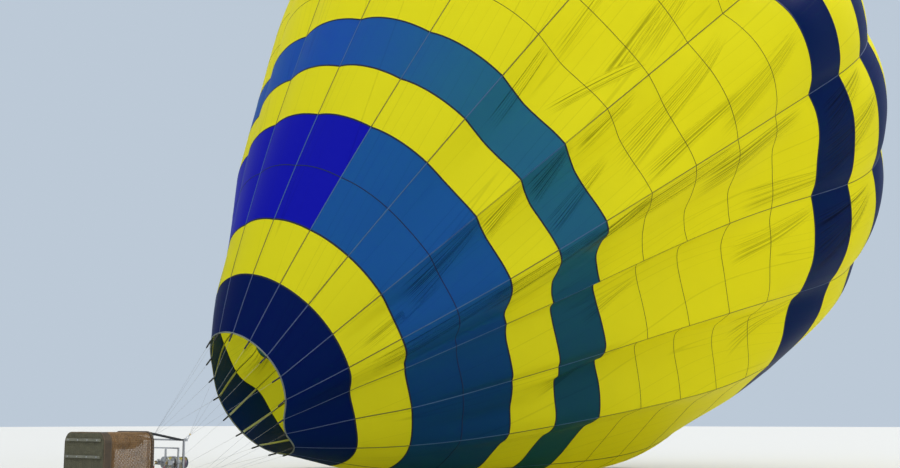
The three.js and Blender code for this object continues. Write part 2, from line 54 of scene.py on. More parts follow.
# Slope of the cloth to the envelope's axis: row, degrees
SLOPES = [
    (0, 37.4), (4, 31.3), (8, 27.9), (10, 17.7), (12, 10.4), (14, -16.6), (16, -36.9),
    (18, -48), (20, -68), (22, -80),
]

# How far a gore swells between its tapes: row, share of the gore's width
SWELLING = [(0, 0), (3, 0.04), (6, 0.055), (8, 0.08), (11, 0.11), (14, 0.075), (18, 0.06), (22, 0.02)]

# The part-filled envelope hangs slack below: degrees from the top, swing, sag, outward
SLACK = [
    (0, 0, 0, 0), (70, 0, 0, 0), (93, -3.2, 0.19, 0), (113, -4, -0.15, -0.94),
    (133, -5.2, 0.16, -0.61), (153, -9, 0.59, -0.22), (180, 0, 0.89, -0.14),
]

# How much of that slack each row has: row, share
SLACK_ROWS = [(0, 0), (2, 0.5), (5, 0.85), (9, 1), (13, 0.1), (17, 0.15), (21, 0)]

# The mouth is drawn in at its sides: degrees round, outward at rows 0, 1 and 2
MOUTH_SIDES = [
    (-180, 0, 0, 0), (-150, -0.02, -0.22, -0.30), (-120, -0.08, -0.46, -0.74),
    (-90, -0.14, -0.42, -0.86), (-60, -0.22, -0.24, -0.54), (-25, -0.04, 0, -0.06), (50, 0, 0, 0),
    (70, -0.03, -0.05, -0.05), (90, -0.08, -0.14, -0.18), (110, -0.12, -0.18, -0.06),
    (130, -0.10, -0.12, 0), (150, 0, 0, 0), (180, 0, 0, 0),
]

# Its hem is pulled towards the basket: degrees round, how far along the cloth
MOUTH_REACH = [
    (-180, 0), (-120, 0.10), (-60, -0.10), (-30, -0.17), (-10, -0.10), (30, -0.03), (50, 0.02),
    (70, 0.10), (90, 0.25), (110, 0.42), (130, 0.42), (150, 0.20), (180, 0),
]
REACH_ROWS = [(0, 1), (1, 0.1), (2, 0)]

# Slack gores hang hollow below and swell towards the shoulder: for a gore, outward of its
# tapes at each row, at these shares across it. The far side mirrors the near one
HOLLOW_SHARES = (0, 0.15, 0.35, 0.6, 0.85, 1)
HOLLOWS = {
    3: [
        (2, 0, 0, 0, 0), (4, -0.10, -0.20, -0.20, -0.08), (5, -0.22, -0.40, -0.35, -0.12),
        (7, -0.22, -0.42, -0.32, -0.10), (8, -0.04, -0.08, -0.08, -0.02), (9, 0.06, 0.14, 0.14, 0.06),
        (10, 0.20, 0.34, 0.34, 0.20), (12, 0.22, 0.40, 0.40, 0.22), (14, 0.13, 0.24, 0.24, 0.13),
    ],
    4: [
        (1, 0, 0, 0, 0), (2, -0.08, -0.22, -0.18, -0.05), (4, -0.25, -0.40, -0.30, -0.10),
        (5, -0.34, -0.54, -0.40, -0.15), (6, -0.30, -0.55, -0.48, -0.18), (7, -0.20, -0.45, -0.40, -0.15),
        (8, -0.10, -0.24, -0.20, -0.05), (9, 0.10, 0.22, 0.24, 0.12), (10, 0.26, 0.48, 0.50, 0.26),
        (11, 0.34, 0.60, 0.58, 0.32), (12, 0.26, 0.46, 0.46, 0.25), (14, 0.13, 0.24, 0.24, 0.13),
    ],
    5: [
        (1, 0, 0, 0, 0), (2, 0.02, 0.02, -0.04, -0.08), (4, -0.06, -0.20, -0.28, -0.24),
        (5, -0.03, -0.28, -0.42, -0.24), (6, -0.08, -0.52, -0.60, -0.26), (7, -0.26, -0.56, -0.50, -0.22),
        (8, -0.18, -0.42, -0.55, -0.28), (9, -0.06, -0.28, -0.44, -0.20), (10, -0.08, -0.32, -0.24, -0.05),
        (11, 0.10, 0.12, 0.06, 0.08), (12, 0.12, 0.20, 0.18, 0.12), (14, 0.12, 0.22, 0.22, 0.12),
    ],
    6: [
        (2, 0, 0, 0, 0), (4, 0, 0.02, 0.10, 0.12), (5, -0.12, -0.05, 0.06, 0.12),
        (6, -0.28, -0.18, 0.02, 0.12), (7, -0.30, -0.28, -0.12, 0), (8, -0.30, -0.38, -0.28, -0.10),
        (9, -0.15, -0.28, -0.20, -0.10), (10, 0, 0.08, 0.05, 0.06), (11, 0.14, 0.25, 0.27, 0.12),
        (12, 0.15, 0.26, 0.26, 0.13), (14, 0.12, 0.22, 0.22, 0.12),
    ],
    7: [
        (2, 0, 0, 0, 0), (4, 0, -0.06, -0.14, -0.04), (5, -0.04, -0.28, -0.24, -0.04),
        (6, -0.22, -0.54, -0.27, -0.08), (7, -0.38, -0.66, -0.50, -0.20), (8, -0.38, -0.68, -0.66, -0.28),
        (9, -0.28, -0.58, -0.60, -0.28), (10, -0.24, -0.52, -0.40, -0.10), (11, -0.20, -0.20, -0.06, 0),
        (12, 0, 0.08, 0.08, 0.03), (14, 0.10, 0.20, 0.20, 0.10),
    ],
    8: [
        (2, 0, 0, 0, 0), (5, -0.08, -0.22, -0.20, -0.06), (7, -0.20, -0.40, -0.36, -0.18),
        (9, -0.20, -0.38, -0.34, -0.16), (11, -0.06, -0.06, 0, 0), (14, 0.10, 0.18, 0.18, 0.10),
    ],
}

# Bands of cloth: node, slot, first row, last row, first gore, last gore
BANDS = [
    ("envelope_navy_mouth", "navy_cloth", 0, 1, -4, 14),
    ("envelope_yellow_lower", "yellow_cloth", 1, 2, -4, 14),
    ("envelope_blue", "blue_cloth", 2, 4, 2, 14),
    ("envelope_royal_panel", "royal_cloth", 2, 4, -4, 2),
    ("envelope_yellow_middle", "yellow_cloth", 4, 5, -4, 14),
    ("envelope_teal", "teal_cloth", 5, 6, -4, 14),
    ("envelope_yellow_main_lower", "yellow_cloth", 6, 8, -4, 14),
    ("envelope_yellow_main_upper", "yellow_cloth", 8, 11, -4, 14),
    ("envelope_navy_shoulder", "navy_cloth", 11, 12, -4, 14),
    ("envelope_yellow_shoulder", "yellow_cloth", 12, 13, -4, 14),
    ("envelope_navy_upper", "navy_cloth", 13, 14, -4, 14),
    ("envelope_yellow_crown_lower", "yellow_cloth", 14, 17, -4, 14),
    ("envelope_yellow_crown_upper", "yellow_cloth", 17, HOLE_ROW, -4, 14),
]

def hermite(knots, values, place):
    """Value at each place of a smooth curve through values at these knots."""
    knots = np.asarray(knots, float)
    place = np.clip(place, knots[0], knots[-1])
    values = np.stack([np.broadcast_to(value, place.shape) for value in values])
    slopes = np.diff(values, axis=0) / np.diff(knots).reshape(-1, *[1] * place.ndim)
    weights = np.diff(knots).reshape(-1, *[1] * place.ndim)
    inner = (slopes[:-1] * weights[:-1] + slopes[1:] * weights[1:]) / (weights[:-1] + weights[1:])
    tangents = np.concatenate([slopes[:1], inner, slopes[-1:]])
    i = np.clip(np.searchsorted(knots, place) - 1, 0, len(knots) - 2)
    span = knots[i + 1] - knots[i]
    t = (place - knots[i]) / span
    at = lambda array, k: np.take_along_axis(array, k[None], axis=0)[0]
    return (
        (2 * t**3 - 3 * t**2 + 1) * at(values, i)
        + (t**3 - 2 * t**2 + t) * span * at(tangents, i)
        + (3 * t**2 - 2 * t**3) * at(values, i + 1)
        + (t**3 - t**2) * span * at(tangents, i + 1)
    )


def curve_through(table, place, column=1):
    """Value of a table's column at each place, along a smooth curve through its lines."""
    return hermite([line[0] for line in table], [line[column] for line in table], np.asarray(place, float))


# Meridian of the envelope: distance along the axis and radius at each tenth of a row
STEPS_PER_ROW = 10
_middles = (np.arange((HOLE_ROW + 1) * STEPS_PER_ROW) + 0.5) / STEPS_PER_ROW
_slopes = np.radians(curve_through(SLOPES, _middles))
_step = ROW_LENGTH / STEPS_PER_ROW
STATIONS = np.concatenate([[0], np.cumsum(np.cos(_slopes) * _step)])
RADII = MOUTH_RADIUS + np.concatenate([[0], np.cumsum(np.sin(_slopes) * _step)])

AXIS = np.array([math.cos(LEAN), 0, math.sin(LEAN)])
UPPER_SIDE = np.array([-math.sin(LEAN), 0, math.cos(LEAN)])
NEAR_SIDE = np.array([0, -1, 0])
MOUTH_CENTRE = -LIFT_STATION * AXIS
GROUND = MOUTH_CENTRE[2] - MOUTH_HEIGHT


def unit(vectors):
    return vectors / np.linalg.norm(vectors, axis=-1, keepdims=True)


def circle_angles(count):
    return np.arange(count) / count * 2 * math.pi


def along_meridian(values, row):
    return np.interp(row * STEPS_PER_ROW, np.arange(len(values)), values)


def gore_width(row):
    return 2 * math.pi * along_meridian(RADII, row) / GORES


def cloth(row, gore, outward=0.0):
    """Points of the envelope at rows and gores, this far out from the tapes' own surface."""
    row, gore = np.broadcast_arrays(np.asarray(row, float), np.asarray(gore, float))
    slope = np.radians(curve_through(SLOPES, row))
    angle = (FIRST_TAPE_ANGLE + gore * 360 / GORES + 540) % 360 - 180
    from_top = np.abs(angle)
    share = curve_through(SLACK_ROWS, row)
    swing = np.radians(angle + np.sign(angle) * share * curve_through(SLACK, from_top, 1))
    sag = share * curve_through(SLACK, from_top, 2)
    sides = [curve_through(MOUTH_SIDES, angle, column) for column in (1, 2, 3)]
    inward = hermite((0, 1, 2, 4), [*sides, 0 * row], row)
    reach = curve_through(REACH_ROWS, row) * curve_through(MOUTH_REACH, angle)
    radius = along_meridian(RADII, row) + share * curve_through(SLACK, from_top, 3) + inward
    radius = radius + outward * np.cos(slope) - reach * np.sin(slope)
    station = along_meridian(STATIONS, row) - outward * np.sin(slope) - reach * np.cos(slope)
    points = (
        MOUTH_CENTRE
        + station[..., None] * AXIS
        + (radius * np.cos(swing) * (1 + TALLNESS))[..., None] * UPPER_SIDE
        + (radius * np.sin(swing) * (1 - TALLNESS))[..., None] * NEAR_SIDE
    )
    points[..., 2] -= sag
    return points


# Bundles of tight creases that fan out from one place: gore, row and share across of the
# narrow end, row and first and last share across of the wide end, how many, how strong. The
# far side mirrors the near one
CREASES = [
    (4, 6.1, 0.05, 5.0, 0.08, 0.45, 7, 1.0),
    (4, 5.1, 0.06, 3.9, 0.12, 0.46, 5, 0.7),
    (4, 4.2, 0.04, 2.2, 0.10, 0.70, 11, 0.9),
    (4, 7.7, 0.04, 6.1, 0.06, 0.26, 4, 0.7),
    (4, 9.8, 0.10, 6.6, 0.35, 0.80, 9, 0.5),
    (4, 9.4, 0.60, 6.9, 0.74, 0.97, 6, 0.6),
    (4, 6.7, 0.42, 4.9, 0.62, 0.90, 5, 0.8),
    (4, 11.0, 0.45, 8.6, 0.62, 0.99, 12, 0.5),
    (4, 3.1, 0.48, 1.2, 0.58, 0.95, 6, 0.5),
    (5, 6.2, 0.05, 3.3, 0.06, 0.50, 12, 1.0),
    (5, 7.2, 0.05, 5.4, 0.08, 0.46, 9, 1.0),
    (5, 9.2, 0.05, 6.3, 0.06, 0.44, 12, 1.0),
    (5, 10.8, 0.08, 8.0, 0.12, 0.54, 10, 0.7),
    (5, 4.3, 0.06, 1.2, 0.10, 0.75, 14, 0.9),
    (5, 11.5, 0.78, 9.2, 0.66, 0.98, 8, 0.5),
    (5, 13.2, 0.30, 11.0, 0.40, 0.98, 12, 0.9),
    (5, 12.8, 0.06, 11.1, 0.12, 0.50, 8, 0.8),
    (3, 8.2, 0.90, 6.1, 0.50, 0.66, 3, 0.7),
    (3, 8.8, 0.16, 6.9, 0.18, 0.34, 3, 0.5),
    (3, 10.4, 0.55, 8.0, 0.60, 0.97, 9, 0.5),
    (3, 9.1, 0.60, 7.2, 0.68, 0.93, 5, 0.6),
    (3, 7.1, 0.12, 5.2, 0.16, 0.34, 4, 0.9),
    (3, 12.9, 0.10, 11.1, 0.30, 0.90, 6, 0.5),
    (6, 7.1, 0.30, 5.5, 0.38, 0.60, 5, 0.4),
    (6, 11.1, 0.10, 9.1, 0.30, 0.65, 7, 0.5),
    (6, 12.8, 0.10, 10.9, 0.15, 0.95, 12, 0.8),
    (7, 6.5, 0.10, 4.5, 0.18, 0.65, 6, 0.4),
    (7, 11.3, 0.10, 9.3, 0.28, 0.85, 8, 0.5),
    (2, 9.7, 0.55, 7.7, 0.66, 0.96, 6, 0.4),
]
CREASE_SLOTS = 3
NARROW_END = 0.10
BUNDLE_OFFSET = 31.7
# Creases fade out over these shares of their bundle, and of the gore beside its tapes
FADE = {"side": 0.15, "wide_end": 0.25, "narrow_end": 0.22, "tape": 0.04}


def ramp(value, end):
    t = np.clip(value / end, 0, 1)
    return t * t * (3 - 2 * t)


def crease_fields(row, gore):
    """For each slot of bundles: how far across its bundle a place is, counted in creases, how
    far along it, and how strong the creases are there."""
    row, gore = np.broadcast_arrays(np.asarray(row, float), np.asarray(gore, float))
    index = np.floor(gore + 1e-9).astype(int) % GORES
    share = gore - np.floor(gore + 1e-9)
    fields = np.zeros((CREASE_SLOTS, *row.shape, 3))
    nearest = np.full((CREASE_SLOTS, *row.shape), np.inf)
    for number, (place, narrow_row, narrow, wide_row, first, last, count, strength) in enumerate(CREASES):
        slot = number % CREASE_SLOTS
        for own_gore, across in ((place, share), (GORES - place, 1 - share)):
            t = (row - wide_row) / (narrow_row - wide_row)
            along = np.clip(t, 0, 1)
            width = (last - first) * (1 - along) + NARROW_END * along
            start = first + along * (narrow - NARROW_END / 2 - first)
            part = (across - start) / width
            away = np.maximum(0, np.maximum(-part, part - 1)) * width * gore_width(row)
            away = away + np.maximum(0, np.maximum(-t, t - 1)) * abs(narrow_row - wide_row) * ROW_LENGTH
            here = (index == own_gore) & (away < nearest[slot])
            fade = ramp(part, FADE["side"]) * ramp(1 - part, FADE["side"])
            fade = fade * ramp(t, FADE["wide_end"]) * ramp(1 - t, FADE["narrow_end"])
            fade = fade * ramp(across, FADE["tape"]) * ramp(1 - across, FADE["tape"])
            counted = part * count + BUNDLE_OFFSET * number
            values = np.stack([counted, t * (narrow_row - wide_row), fade * strength], -1)
            fields[slot][here] = values[here]
            nearest[slot][here] = away[here]
    return fields


# A full gore's roundness between its tapes, and the rows over which a slack gore fills out
GORE_ROUNDNESS = 2.2
FULL_AFTER = 3


def swell_of(row, share):
    return curve_through(SWELLING, row) * gore_width(row) * (1 - np.abs(2 * share - 1) ** GORE_ROUNDNESS)


def hang_of(gore, row, share):
    """How the cloth of one gore hangs out of or into its tapes' surface."""
    near = gore if gore <= GORES // 2 else GORES - gore
    if near not in HOLLOWS:
        return swell_of(row, share)
    if gore != near:
        share = 1 - share
    table = HOLLOWS[near]
    values = [curve_through(table, row, column) for column in (1, 2, 3, 4)]
    hollow = hermite(HOLLOW_SHARES, [0 * row, *values, 0 * row], share)
    past = np.clip((row - table[-1][0]) / FULL_AFTER, 0, 1)
    return hollow + past * (swell_of(row, share) - hollow)


def relief(row, gore):
    """How far the cloth stands out of its tapes' surface, in metres."""
    row, gore = np.broadcast_arrays(np.asarray(row, float), np.asarray(gore, float))
    height = np.zeros(row.shape)
    index = np.floor(gore + 1e-9).astype(int)
    for k in np.unique(index):
        here = index == k
        height[here] = hang_of(k % GORES, row[here], np.clip(gore[here] - k, 0, 1))
    return height


# The envelope's three pieces round it: name, first gore, columns in each gore
SIDES = [("top", -4, 24), ("near", 2, 56), ("far", 8, 24)]
GORES_PER_SIDE = 6
LINES_PER_ROW = 14


def make_patch(first_gore, columns_per_gore):
    """Grid of points over one side of the envelope, with its outward directions."""
    rows = np.linspace(0, HOLE_ROW, HOLE_ROW * LINES_PER_ROW + 1)
    gores = np.linspace(first_gore, first_gore + GORES_PER_SIDE, GORES_PER_SIDE * columns_per_gore + 1)
    points = cloth(rows[:, None], gores[None, :], relief(rows[:, None], gores[None, :]))
    along = np.gradient(points, axis=0)
    across = np.gradient(points, axis=1)
    return {
        "rows": rows, "gores": gores, "points": points, "outward": unit(np.cross(across, along)),
        "creases": crease_fields(rows[:, None], gores[None, :]), "columns": columns_per_gore,
    }


def on_cloth(row, gore, lift=0.0):
    """Points on the envelope's cloth as it is meshed, lifted off it."""
    row, gore = np.broadcast_arrays(np.asarray(row, float), np.asarray(gore, float))
    gore = (gore + 4) % GORES - 4
    result = np.empty(row.shape + (3,))
    for patch in PATCHES.values():
        first = patch["gores"][0]
        here = (gore >= first) & (gore < first + GORES_PER_SIDE)
        i = row[here] * LINES_PER_ROW
        j = (gore[here] - first) * patch["columns"]
        low_i = np.clip(np.floor(i).astype(int), 0, len(patch["rows"]) - 2)
        low_j = np.clip(np.floor(j).astype(int), 0, len(patch["gores"]) - 2)
        u, v = (i - low_i)[:, None], (j - low_j)[:, None]
        value = 0
        for di, share_i in ((0, 1 - u), (1, u)):
            for dj, share_j in ((0, 1 - v), (1, v)):
                at = (low_i + di, low_j + dj)
                value = value + share_i * share_j * (patch["points"][at] + lift * patch["outward"][at])
        result[here] = value
    return result


# Meshes
def mesh_object(name, points, faces, uvs=None, smooth=True):
    mesh = bpy.data.meshes.new(name)
    if isinstance(faces, np.ndarray):
        faces = faces.tolist()
    mesh.from_pydata(np.asarray(points).reshape(-1, 3).tolist(), [], faces)
    if uvs is not None:
        layer = mesh.uv_layers.new(name="metres")
        layer.data.foreach_set("uv", np.asarray(uvs, np.float32).ravel())
    mesh.polygons.foreach_set("use_smooth", [smooth] * len(mesh.polygons))
    obj = bpy.data.objects.new(name, mesh)
    bpy.context.scene.collection.objects.link(obj)
    return obj


def grid_faces(lines, columns, closed_lines=False, closed_columns=False):
    """Quads of a grid of points, row by row; a closed direction joins its end to its start."""
    i = np.arange(lines if closed_lines else lines - 1)
    j = np.arange(columns if closed_columns else columns - 1)
    i, j = np.meshgrid(i, j, indexing="ij")
    next_i, next_j = (i + 1) % lines, (j + 1) % columns
    return np.stack(
        [i * columns + j, i * columns + next_j, next_i * columns + next_j, next_i * columns + j],
        axis=-1,
    ).reshape(-1, 4)


def strip_form(section, closed=False):
    """Form of a long thin strip from the four edge lines of its section, (4, n, 3)."""
    count = section.shape[1]
    faces = grid_faces(count, 4, closed_lines=closed, closed_columns=True).tolist()
    if not closed:
        end = (count - 1) * 4
        faces += [[3, 2, 1, 0], [end, end + 1, end + 2, end + 3]]
    return np.swapaxes(section, 0, 1).reshape(-1, 3), faces


def round_section(radius, sides=8, squash=1.0):
    turn = circle_angles(sides)
    return np.stack([np.cos(turn) * radius, np.sin(turn) * radius * squash], axis=1)


def superellipse(half_side, half_up, sides, power):
    turn = circle_angles(sides)
    cos, sin = np.cos(turn), np.sin(turn)
    return np.stack([
        half_side * np.sign(cos) * np.abs(cos) ** (2 / power),
        half_up * np.sign(sin) * np.abs(sin) ** (2 / power),
    ], axis=1)


def sweep_form(path, section, closed=False, up=(0, 0, 1), scale=None):
    """Form of a closed section (side, up) carried along a path."""
    path = np.asarray(path, float)
    section = np.asarray(section, float)
    if closed:
        tangent = np.roll(path, -1, axis=0) - np.roll(path, 1, axis=0)
    else:
        tangent = np.gradient(path, axis=0)
    tangent = unit(tangent)
    side = unit(np.cross(tangent, np.broadcast_to(np.asarray(up, float), tangent.shape)))
    above = np.cross(side, tangent)
    scale = np.ones(len(path)) if scale is None else np.asarray(scale, float)
    points = (
        path[:, None]
        + (scale[:, None] * section[None, :, 0])[..., None] * side[:, None]
        + (scale[:, None] * section[None, :, 1])[..., None] * above[:, None]
    )
    count, sides = points.shape[:2]
    faces = grid_faces(count, sides, closed_lines=closed, closed_columns=True).tolist()
    if not closed:
        end = (count - 1) * sides
        faces += [list(range(sides))[::-1], [end + k for k in range(sides)]]
    return points.reshape(-1, 3), faces


def tube_form(path, radius, sides, **options):
    return sweep_form(path, round_section(radius, sides), **options)


def lathe_form(profile, sides=40, axis=((0, 0, 0), (0, 0, 1))):
    """Form of a profile (radius, height) turned about an axis. It starts and ends on the
    axis, or closes on itself."""
    profile = np.asarray(profile, float)
    on_axis = profile[0, 0] < 1e-9 and profile[-1, 0] < 1e-9
    start, along = np.asarray(axis[0], float), Vector(axis[1]).normalized()
    first = np.array(along.orthogonal().normalized())
    along = np.array(along)
    second = np.cross(along, first)
    turn = circle_angles(sides)
    ring = np.cos(turn)[:, None] * first + np.sin(turn)[:, None] * second
    body = profile[1:-1] if on_axis else profile
    points = start + body[:, 0, None, None] * ring + body[:, 1, None, None] * along
    faces = grid_faces(len(body), sides, closed_lines=not on_axis, closed_columns=True).tolist()
    points = points.reshape(-1, 3)
    if on_axis:
        low, high = len(points), len(points) + 1
        points = np.vstack([points, start + profile[0, 1] * along, start + profile[-1, 1] * along])
        last = (len(body) - 1) * sides
        for k in range(sides):
            following = (k + 1) % sides
            faces.append([low, following, k])
            faces.append([high, last + k, last + following])
    return points, faces


def block_form(size, centre=(0, 0, 0)):
    """Form of a rectangular block."""
    x, y, z = (0.5 * side for side in size)
    corners = np.array([
        (-x, -y, -z), (x, -y, -z), (x, y, -z), (-x, y, -z),
        (-x, -y, z), (x, -y, z), (x, y, z), (-x, y, z),
    ])
    faces = [[3, 2, 1, 0], [4, 5, 6, 7], [0, 1, 5, 4], [1, 2, 6, 5], [2, 3, 7, 6], [3, 0, 4, 7]]
    return corners + np.asarray(centre, float), faces


def joined(forms):
    points, faces, start = [], [], 0
    for form_points, form_faces in forms:
        points.append(form_points)
        faces += [[start + k for k in face] for face in form_faces]
        start += len(form_points)
    return np.concatenate(points), faces


def build(name, forms, body, slot, material, *nodes, smooth=True, bevel=0.0, bevel_segments=2):
    """One piece from its forms, with its finish; a bevel rounds its hard edges."""
    points, faces = joined(forms)
    obj = mesh_object(name, points, faces, smooth=smooth)
    if bevel:
        round_edges(obj, bevel, bevel_segments)
    return finish(obj, body, slot, material, *nodes)


def round_edges(obj, width, segments=2):
    modifier = obj.modifiers.new("rounded", "BEVEL")
    modifier.width = width
    modifier.segments = segments
    modifier.limit_method = "ANGLE"
    modifier.angle_limit = math.radians(35)
    modifier.harden_normals = True
    obj.data.polygons.foreach_set("use_smooth", [True] * len(obj.data.polygons))


# Basket, in its own upright frame: x across, y along, z up from the floor's underside
BASKET = {"width": 1.350, "length": 1.500, "height": 1.150, "corner": 0.240, "wall": 0.032}
BASKET_DISTANCE = 4.5
FLOOR_THICKNESS = 0.024
SEAT_GAP = 0.0003
RIM = {"width": 0.076, "height": 0.060}
HIDE = {"height": 0.190, "thickness": 0.004}
RUNNER = {"width": 0.060, "height": 0.045, "inset": 0.100, "places": (-0.516, -0.172, 0.172, 0.516)}
CYLINDER = {"radius": 0.148, "height": 0.900, "collar": 0.095, "clear": 0.022}
FRAME = {"width": 1.000, "length": 1.320, "tube": 0.038, "z": 2.030}
VALVE_BLOCK = {"width": 0.090, "length": 0.110, "height": 0.120, "drop": 0.040}
CAN = {"radius": 0.128, "height": 0.300, "wall": 0.003, "offset": 0.190, "lift": 0.060, "neck": 0.040}
UPRIGHT = {"radius": 0.026, "inset": 0.080, "puffs": 7, "pinch": 0.10, "uneven": 0.012}
UPRIGHT_ZIP = (0.006, 0.003)
KARABINER = {"length": 0.120, "width": 0.062, "bar": 0.006, "lift": 0.024}
SLEEVE = {"radius": 0.020, "length": 0.220}
WIRE_RADIUS = 0.0020

RIM_OVERHANG = (RIM["width"] - BASKET["wall"]) / 2
RIM_TOP = BASKET["height"] + RIM["height"]
BASKET_ORIGIN = np.array([
    MOUTH_CENTRE[0] - BASKET_DISTANCE, 0, GROUND + BASKET["width"] / 2 + RIM_OVERHANG,
])
CORNERS = [(-1, -1), (-1, 1), (1, 1), (1, -1)]
BLOCK_TOP = FRAME["z"] - VALVE_BLOCK["drop"] + VALVE_BLOCK["height"] / 2


# Materials
def node_material(name, base=(0.5, 0.5, 0.5), roughness=0.5, metallic=0.0):
    material = bpy.data.materials.new(name)
    material.use_nodes = True
    shader = material.node_tree.nodes["Principled BSDF"]
    shader.inputs["Base Color"].default_value = (*base, 1)
    shader.inputs["Roughness"].default_value = roughness
    shader.inputs["Metallic"].default_value = metallic
    return material, shader


def add_node(material, kind, inputs=(), **settings):
    """A shader node with its settings. Each input is a value, or an output to link from."""
    node = material.node_tree.nodes.new(kind)
    for name, value in settings.items():
        setattr(node, name, value)
    for name, value in dict(inputs).items():
        if isinstance(value, bpy.types.NodeSocket):
            material.node_tree.links.new(value, node.inputs[name])
        else:
            node.inputs[name].default_value = value
    return node


def link(material, source, target):
    material.node_tree.links.new(source, target)


def combined(material, operation, first, second):
    return add_node(material, "ShaderNodeMath", {0: first, 1: second}, operation=operation).outputs[0]


def mapped(material, value, from_range, to_range, interpolation="LINEAR"):
    """A value carried from one range to another."""
    return add_node(material, "ShaderNodeMapRange", {
        "Value": value, "From Min": from_range[0], "From Max": from_range[1],
        "To Min": to_range[0], "To Max": to_range[1],
    }, interpolation_type=interpolation).outputs[0]


def noise(material, vector, scale, detail, roughness):
    return add_node(material, "ShaderNodeTexNoise", {
        "Vector": vector, "Scale": scale, "Detail": detail, "Roughness": roughness,
    }).outputs["Fac"]


def scaled(material, vector, scale, rotation=(0, 0, 0)):
    return add_node(
        material, "ShaderNodeMapping", {0: vector, "Scale": scale, "Rotation": rotation},
    ).outputs[0]


def mixed(material, share, first, second, blend="MIX"):
    return add_node(
        material, "ShaderNodeMix", {0: share, 6: first, 7: second}, data_type="RGBA", blend_type=blend,
    ).outputs[2]


def bumped(material, height, strength, distance, under=None, invert=False):
    """A normal raised by a height, over another normal where one is given."""
    inputs = {"Height": height, "Strength": strength, "Distance": distance}
    if under is not None:
        inputs["Normal"] = under
    return add_node(material, "ShaderNodeBump", inputs, invert=invert).outputs[0]


def lit_through(material, shader, colour, share, normal=None):
    """Adds a share of light that comes through from behind."""
    glow = add_node(material, "ShaderNodeBsdfTranslucent", {"Color": colour})
    if normal is not None:
        link(material, normal, glow.inputs["Normal"])
    both = add_node(
        material, "ShaderNodeMixShader", {"Fac": share, 1: shader.outputs[0], 2: glow.outputs[0]},
    )
    link(material, both.outputs[0], material.node_tree.nodes["Material Output"].inputs["Surface"])


def thin_lines(material, height, width):
    """Thin lines where a noise crosses its middle."""
    middle = combined(material, "SUBTRACT", height, 0.5)
    away = add_node(material, "ShaderNodeMath", {0: middle}, operation="ABSOLUTE").outputs[0]
    return mapped(material, away, (0, width), (1, 0), "SMOOTHSTEP")


# Creases across and along a bundle's field, and how wide their lines are
CREASE_SCALE = (1.4, 0.07, 0)
CREASE_LINE = 0.042


def bundle_creases(material):
    """The creases of the bundles: lines across each bundle's own field."""
    total = None
    for slot_number in range(CREASE_SLOTS):
        name = f"creases_{slot_number}"
        field = add_node(material, "ShaderNodeAttribute", attribute_name=name).outputs["Vector"]
        height = noise(material, scaled(material, field, CREASE_SCALE), 1.0, 1.0, 0.5)
        strength = add_node(material, "ShaderNodeSeparateXYZ", {0: field}).outputs["Z"]
        lines = combined(material, "MULTIPLY", thin_lines(material, height, CREASE_LINE), strength)
        total = lines if total is None else combined(material, "MAXIMUM", total, lines)
    return total


# Faint creases lean across the whole cloth. Creases darken the colour with painted shade, and doubled cloth
# at a crease lets less light through
FAINT_LEAN = math.radians(20)
FAINT_SCALE = (2.6, 0.05, 1)
FAINT_LINE = 0.014
FAINT_CREASES = 0.16
CREASE_SHADE = 0.78
WEAVE = {"Brick Width": 0.008, "Row Height": 0.008, "Mortar Size": 0.0009, "Scale": 1.0}


def cloth_material(name, front, through, share, sheen_colour, upper=None, shade=0.0):
    """Balloon nylon: a woven grid, bundles of creases, faint creases that lean across the gore,
    light that comes through from behind, painted sky light round the top where a colour for it
    is given, and painted shade round the underside and in the creases."""
    material, shader = node_material(name, front, 0.40)
    shader.inputs["Specular IOR Level"].default_value = 0.03
    shader.inputs["Sheen Weight"].default_value = 0.01
    shader.inputs["Sheen Tint"].default_value = (*sheen_colour, 1)
    place = add_node(material, "ShaderNodeUVMap", uv_map="metres").outputs[0]
    wander = noise(material, scaled(material, place, FAINT_SCALE, (0, 0, FAINT_LEAN)), 1.0, 0.0, 0.5)
    weave = add_node(material, "ShaderNodeTexBrick", {
        **WEAVE, "Vector": place, "Color1": (1, 1, 1, 1), "Color2": (1, 1, 1, 1),
        "Mortar": (0.72, 0.72, 0.72, 1),
    }, offset=0.0, squash=1.0).outputs["Color"]
    faint = combined(material, "MULTIPLY", thin_lines(material, wander, FAINT_LINE), FAINT_CREASES)
    creases = combined(material, "MAXIMUM", faint, bundle_creases(material))
    slack = bumped(material, wander, 0.5, 0.010)
    folded = bumped(material, creases, 0.8, 0.014, slack, invert=True)
    fine = bumped(material, weave, 0.3, 0.0005, folded)
    link(material, fine, shader.inputs["Normal"])

    # Painted shade: the colour is darkened in the creases and round the envelope's underside
    lower = add_node(material, "ShaderNodeAttribute", attribute_name="lower").outputs["Fac"]
    painted_shade = combined(
        material, "MULTIPLY",
        mapped(material, creases, (0, 1), (1, 1 - CREASE_SHADE)),
        mapped(material, lower, (0, 1), (1, 1 - shade)),
    )

    def with_painted_shade(colour):
        return mixed(material, 1, (*colour, 1), painted_shade, "MULTIPLY")

    colour = with_painted_shade(front)
    # Painted sky light: another colour round the top of the envelope
    if upper:
        height = add_node(material, "ShaderNodeAttribute", attribute_name="upper").outputs["Fac"]
        colour = mixed(material, height, colour, with_painted_shade(upper))
    link(material, colour, shader.inputs["Base Color"])
    lit_through(material, shader, with_painted_shade(through), share, fine)
    return material


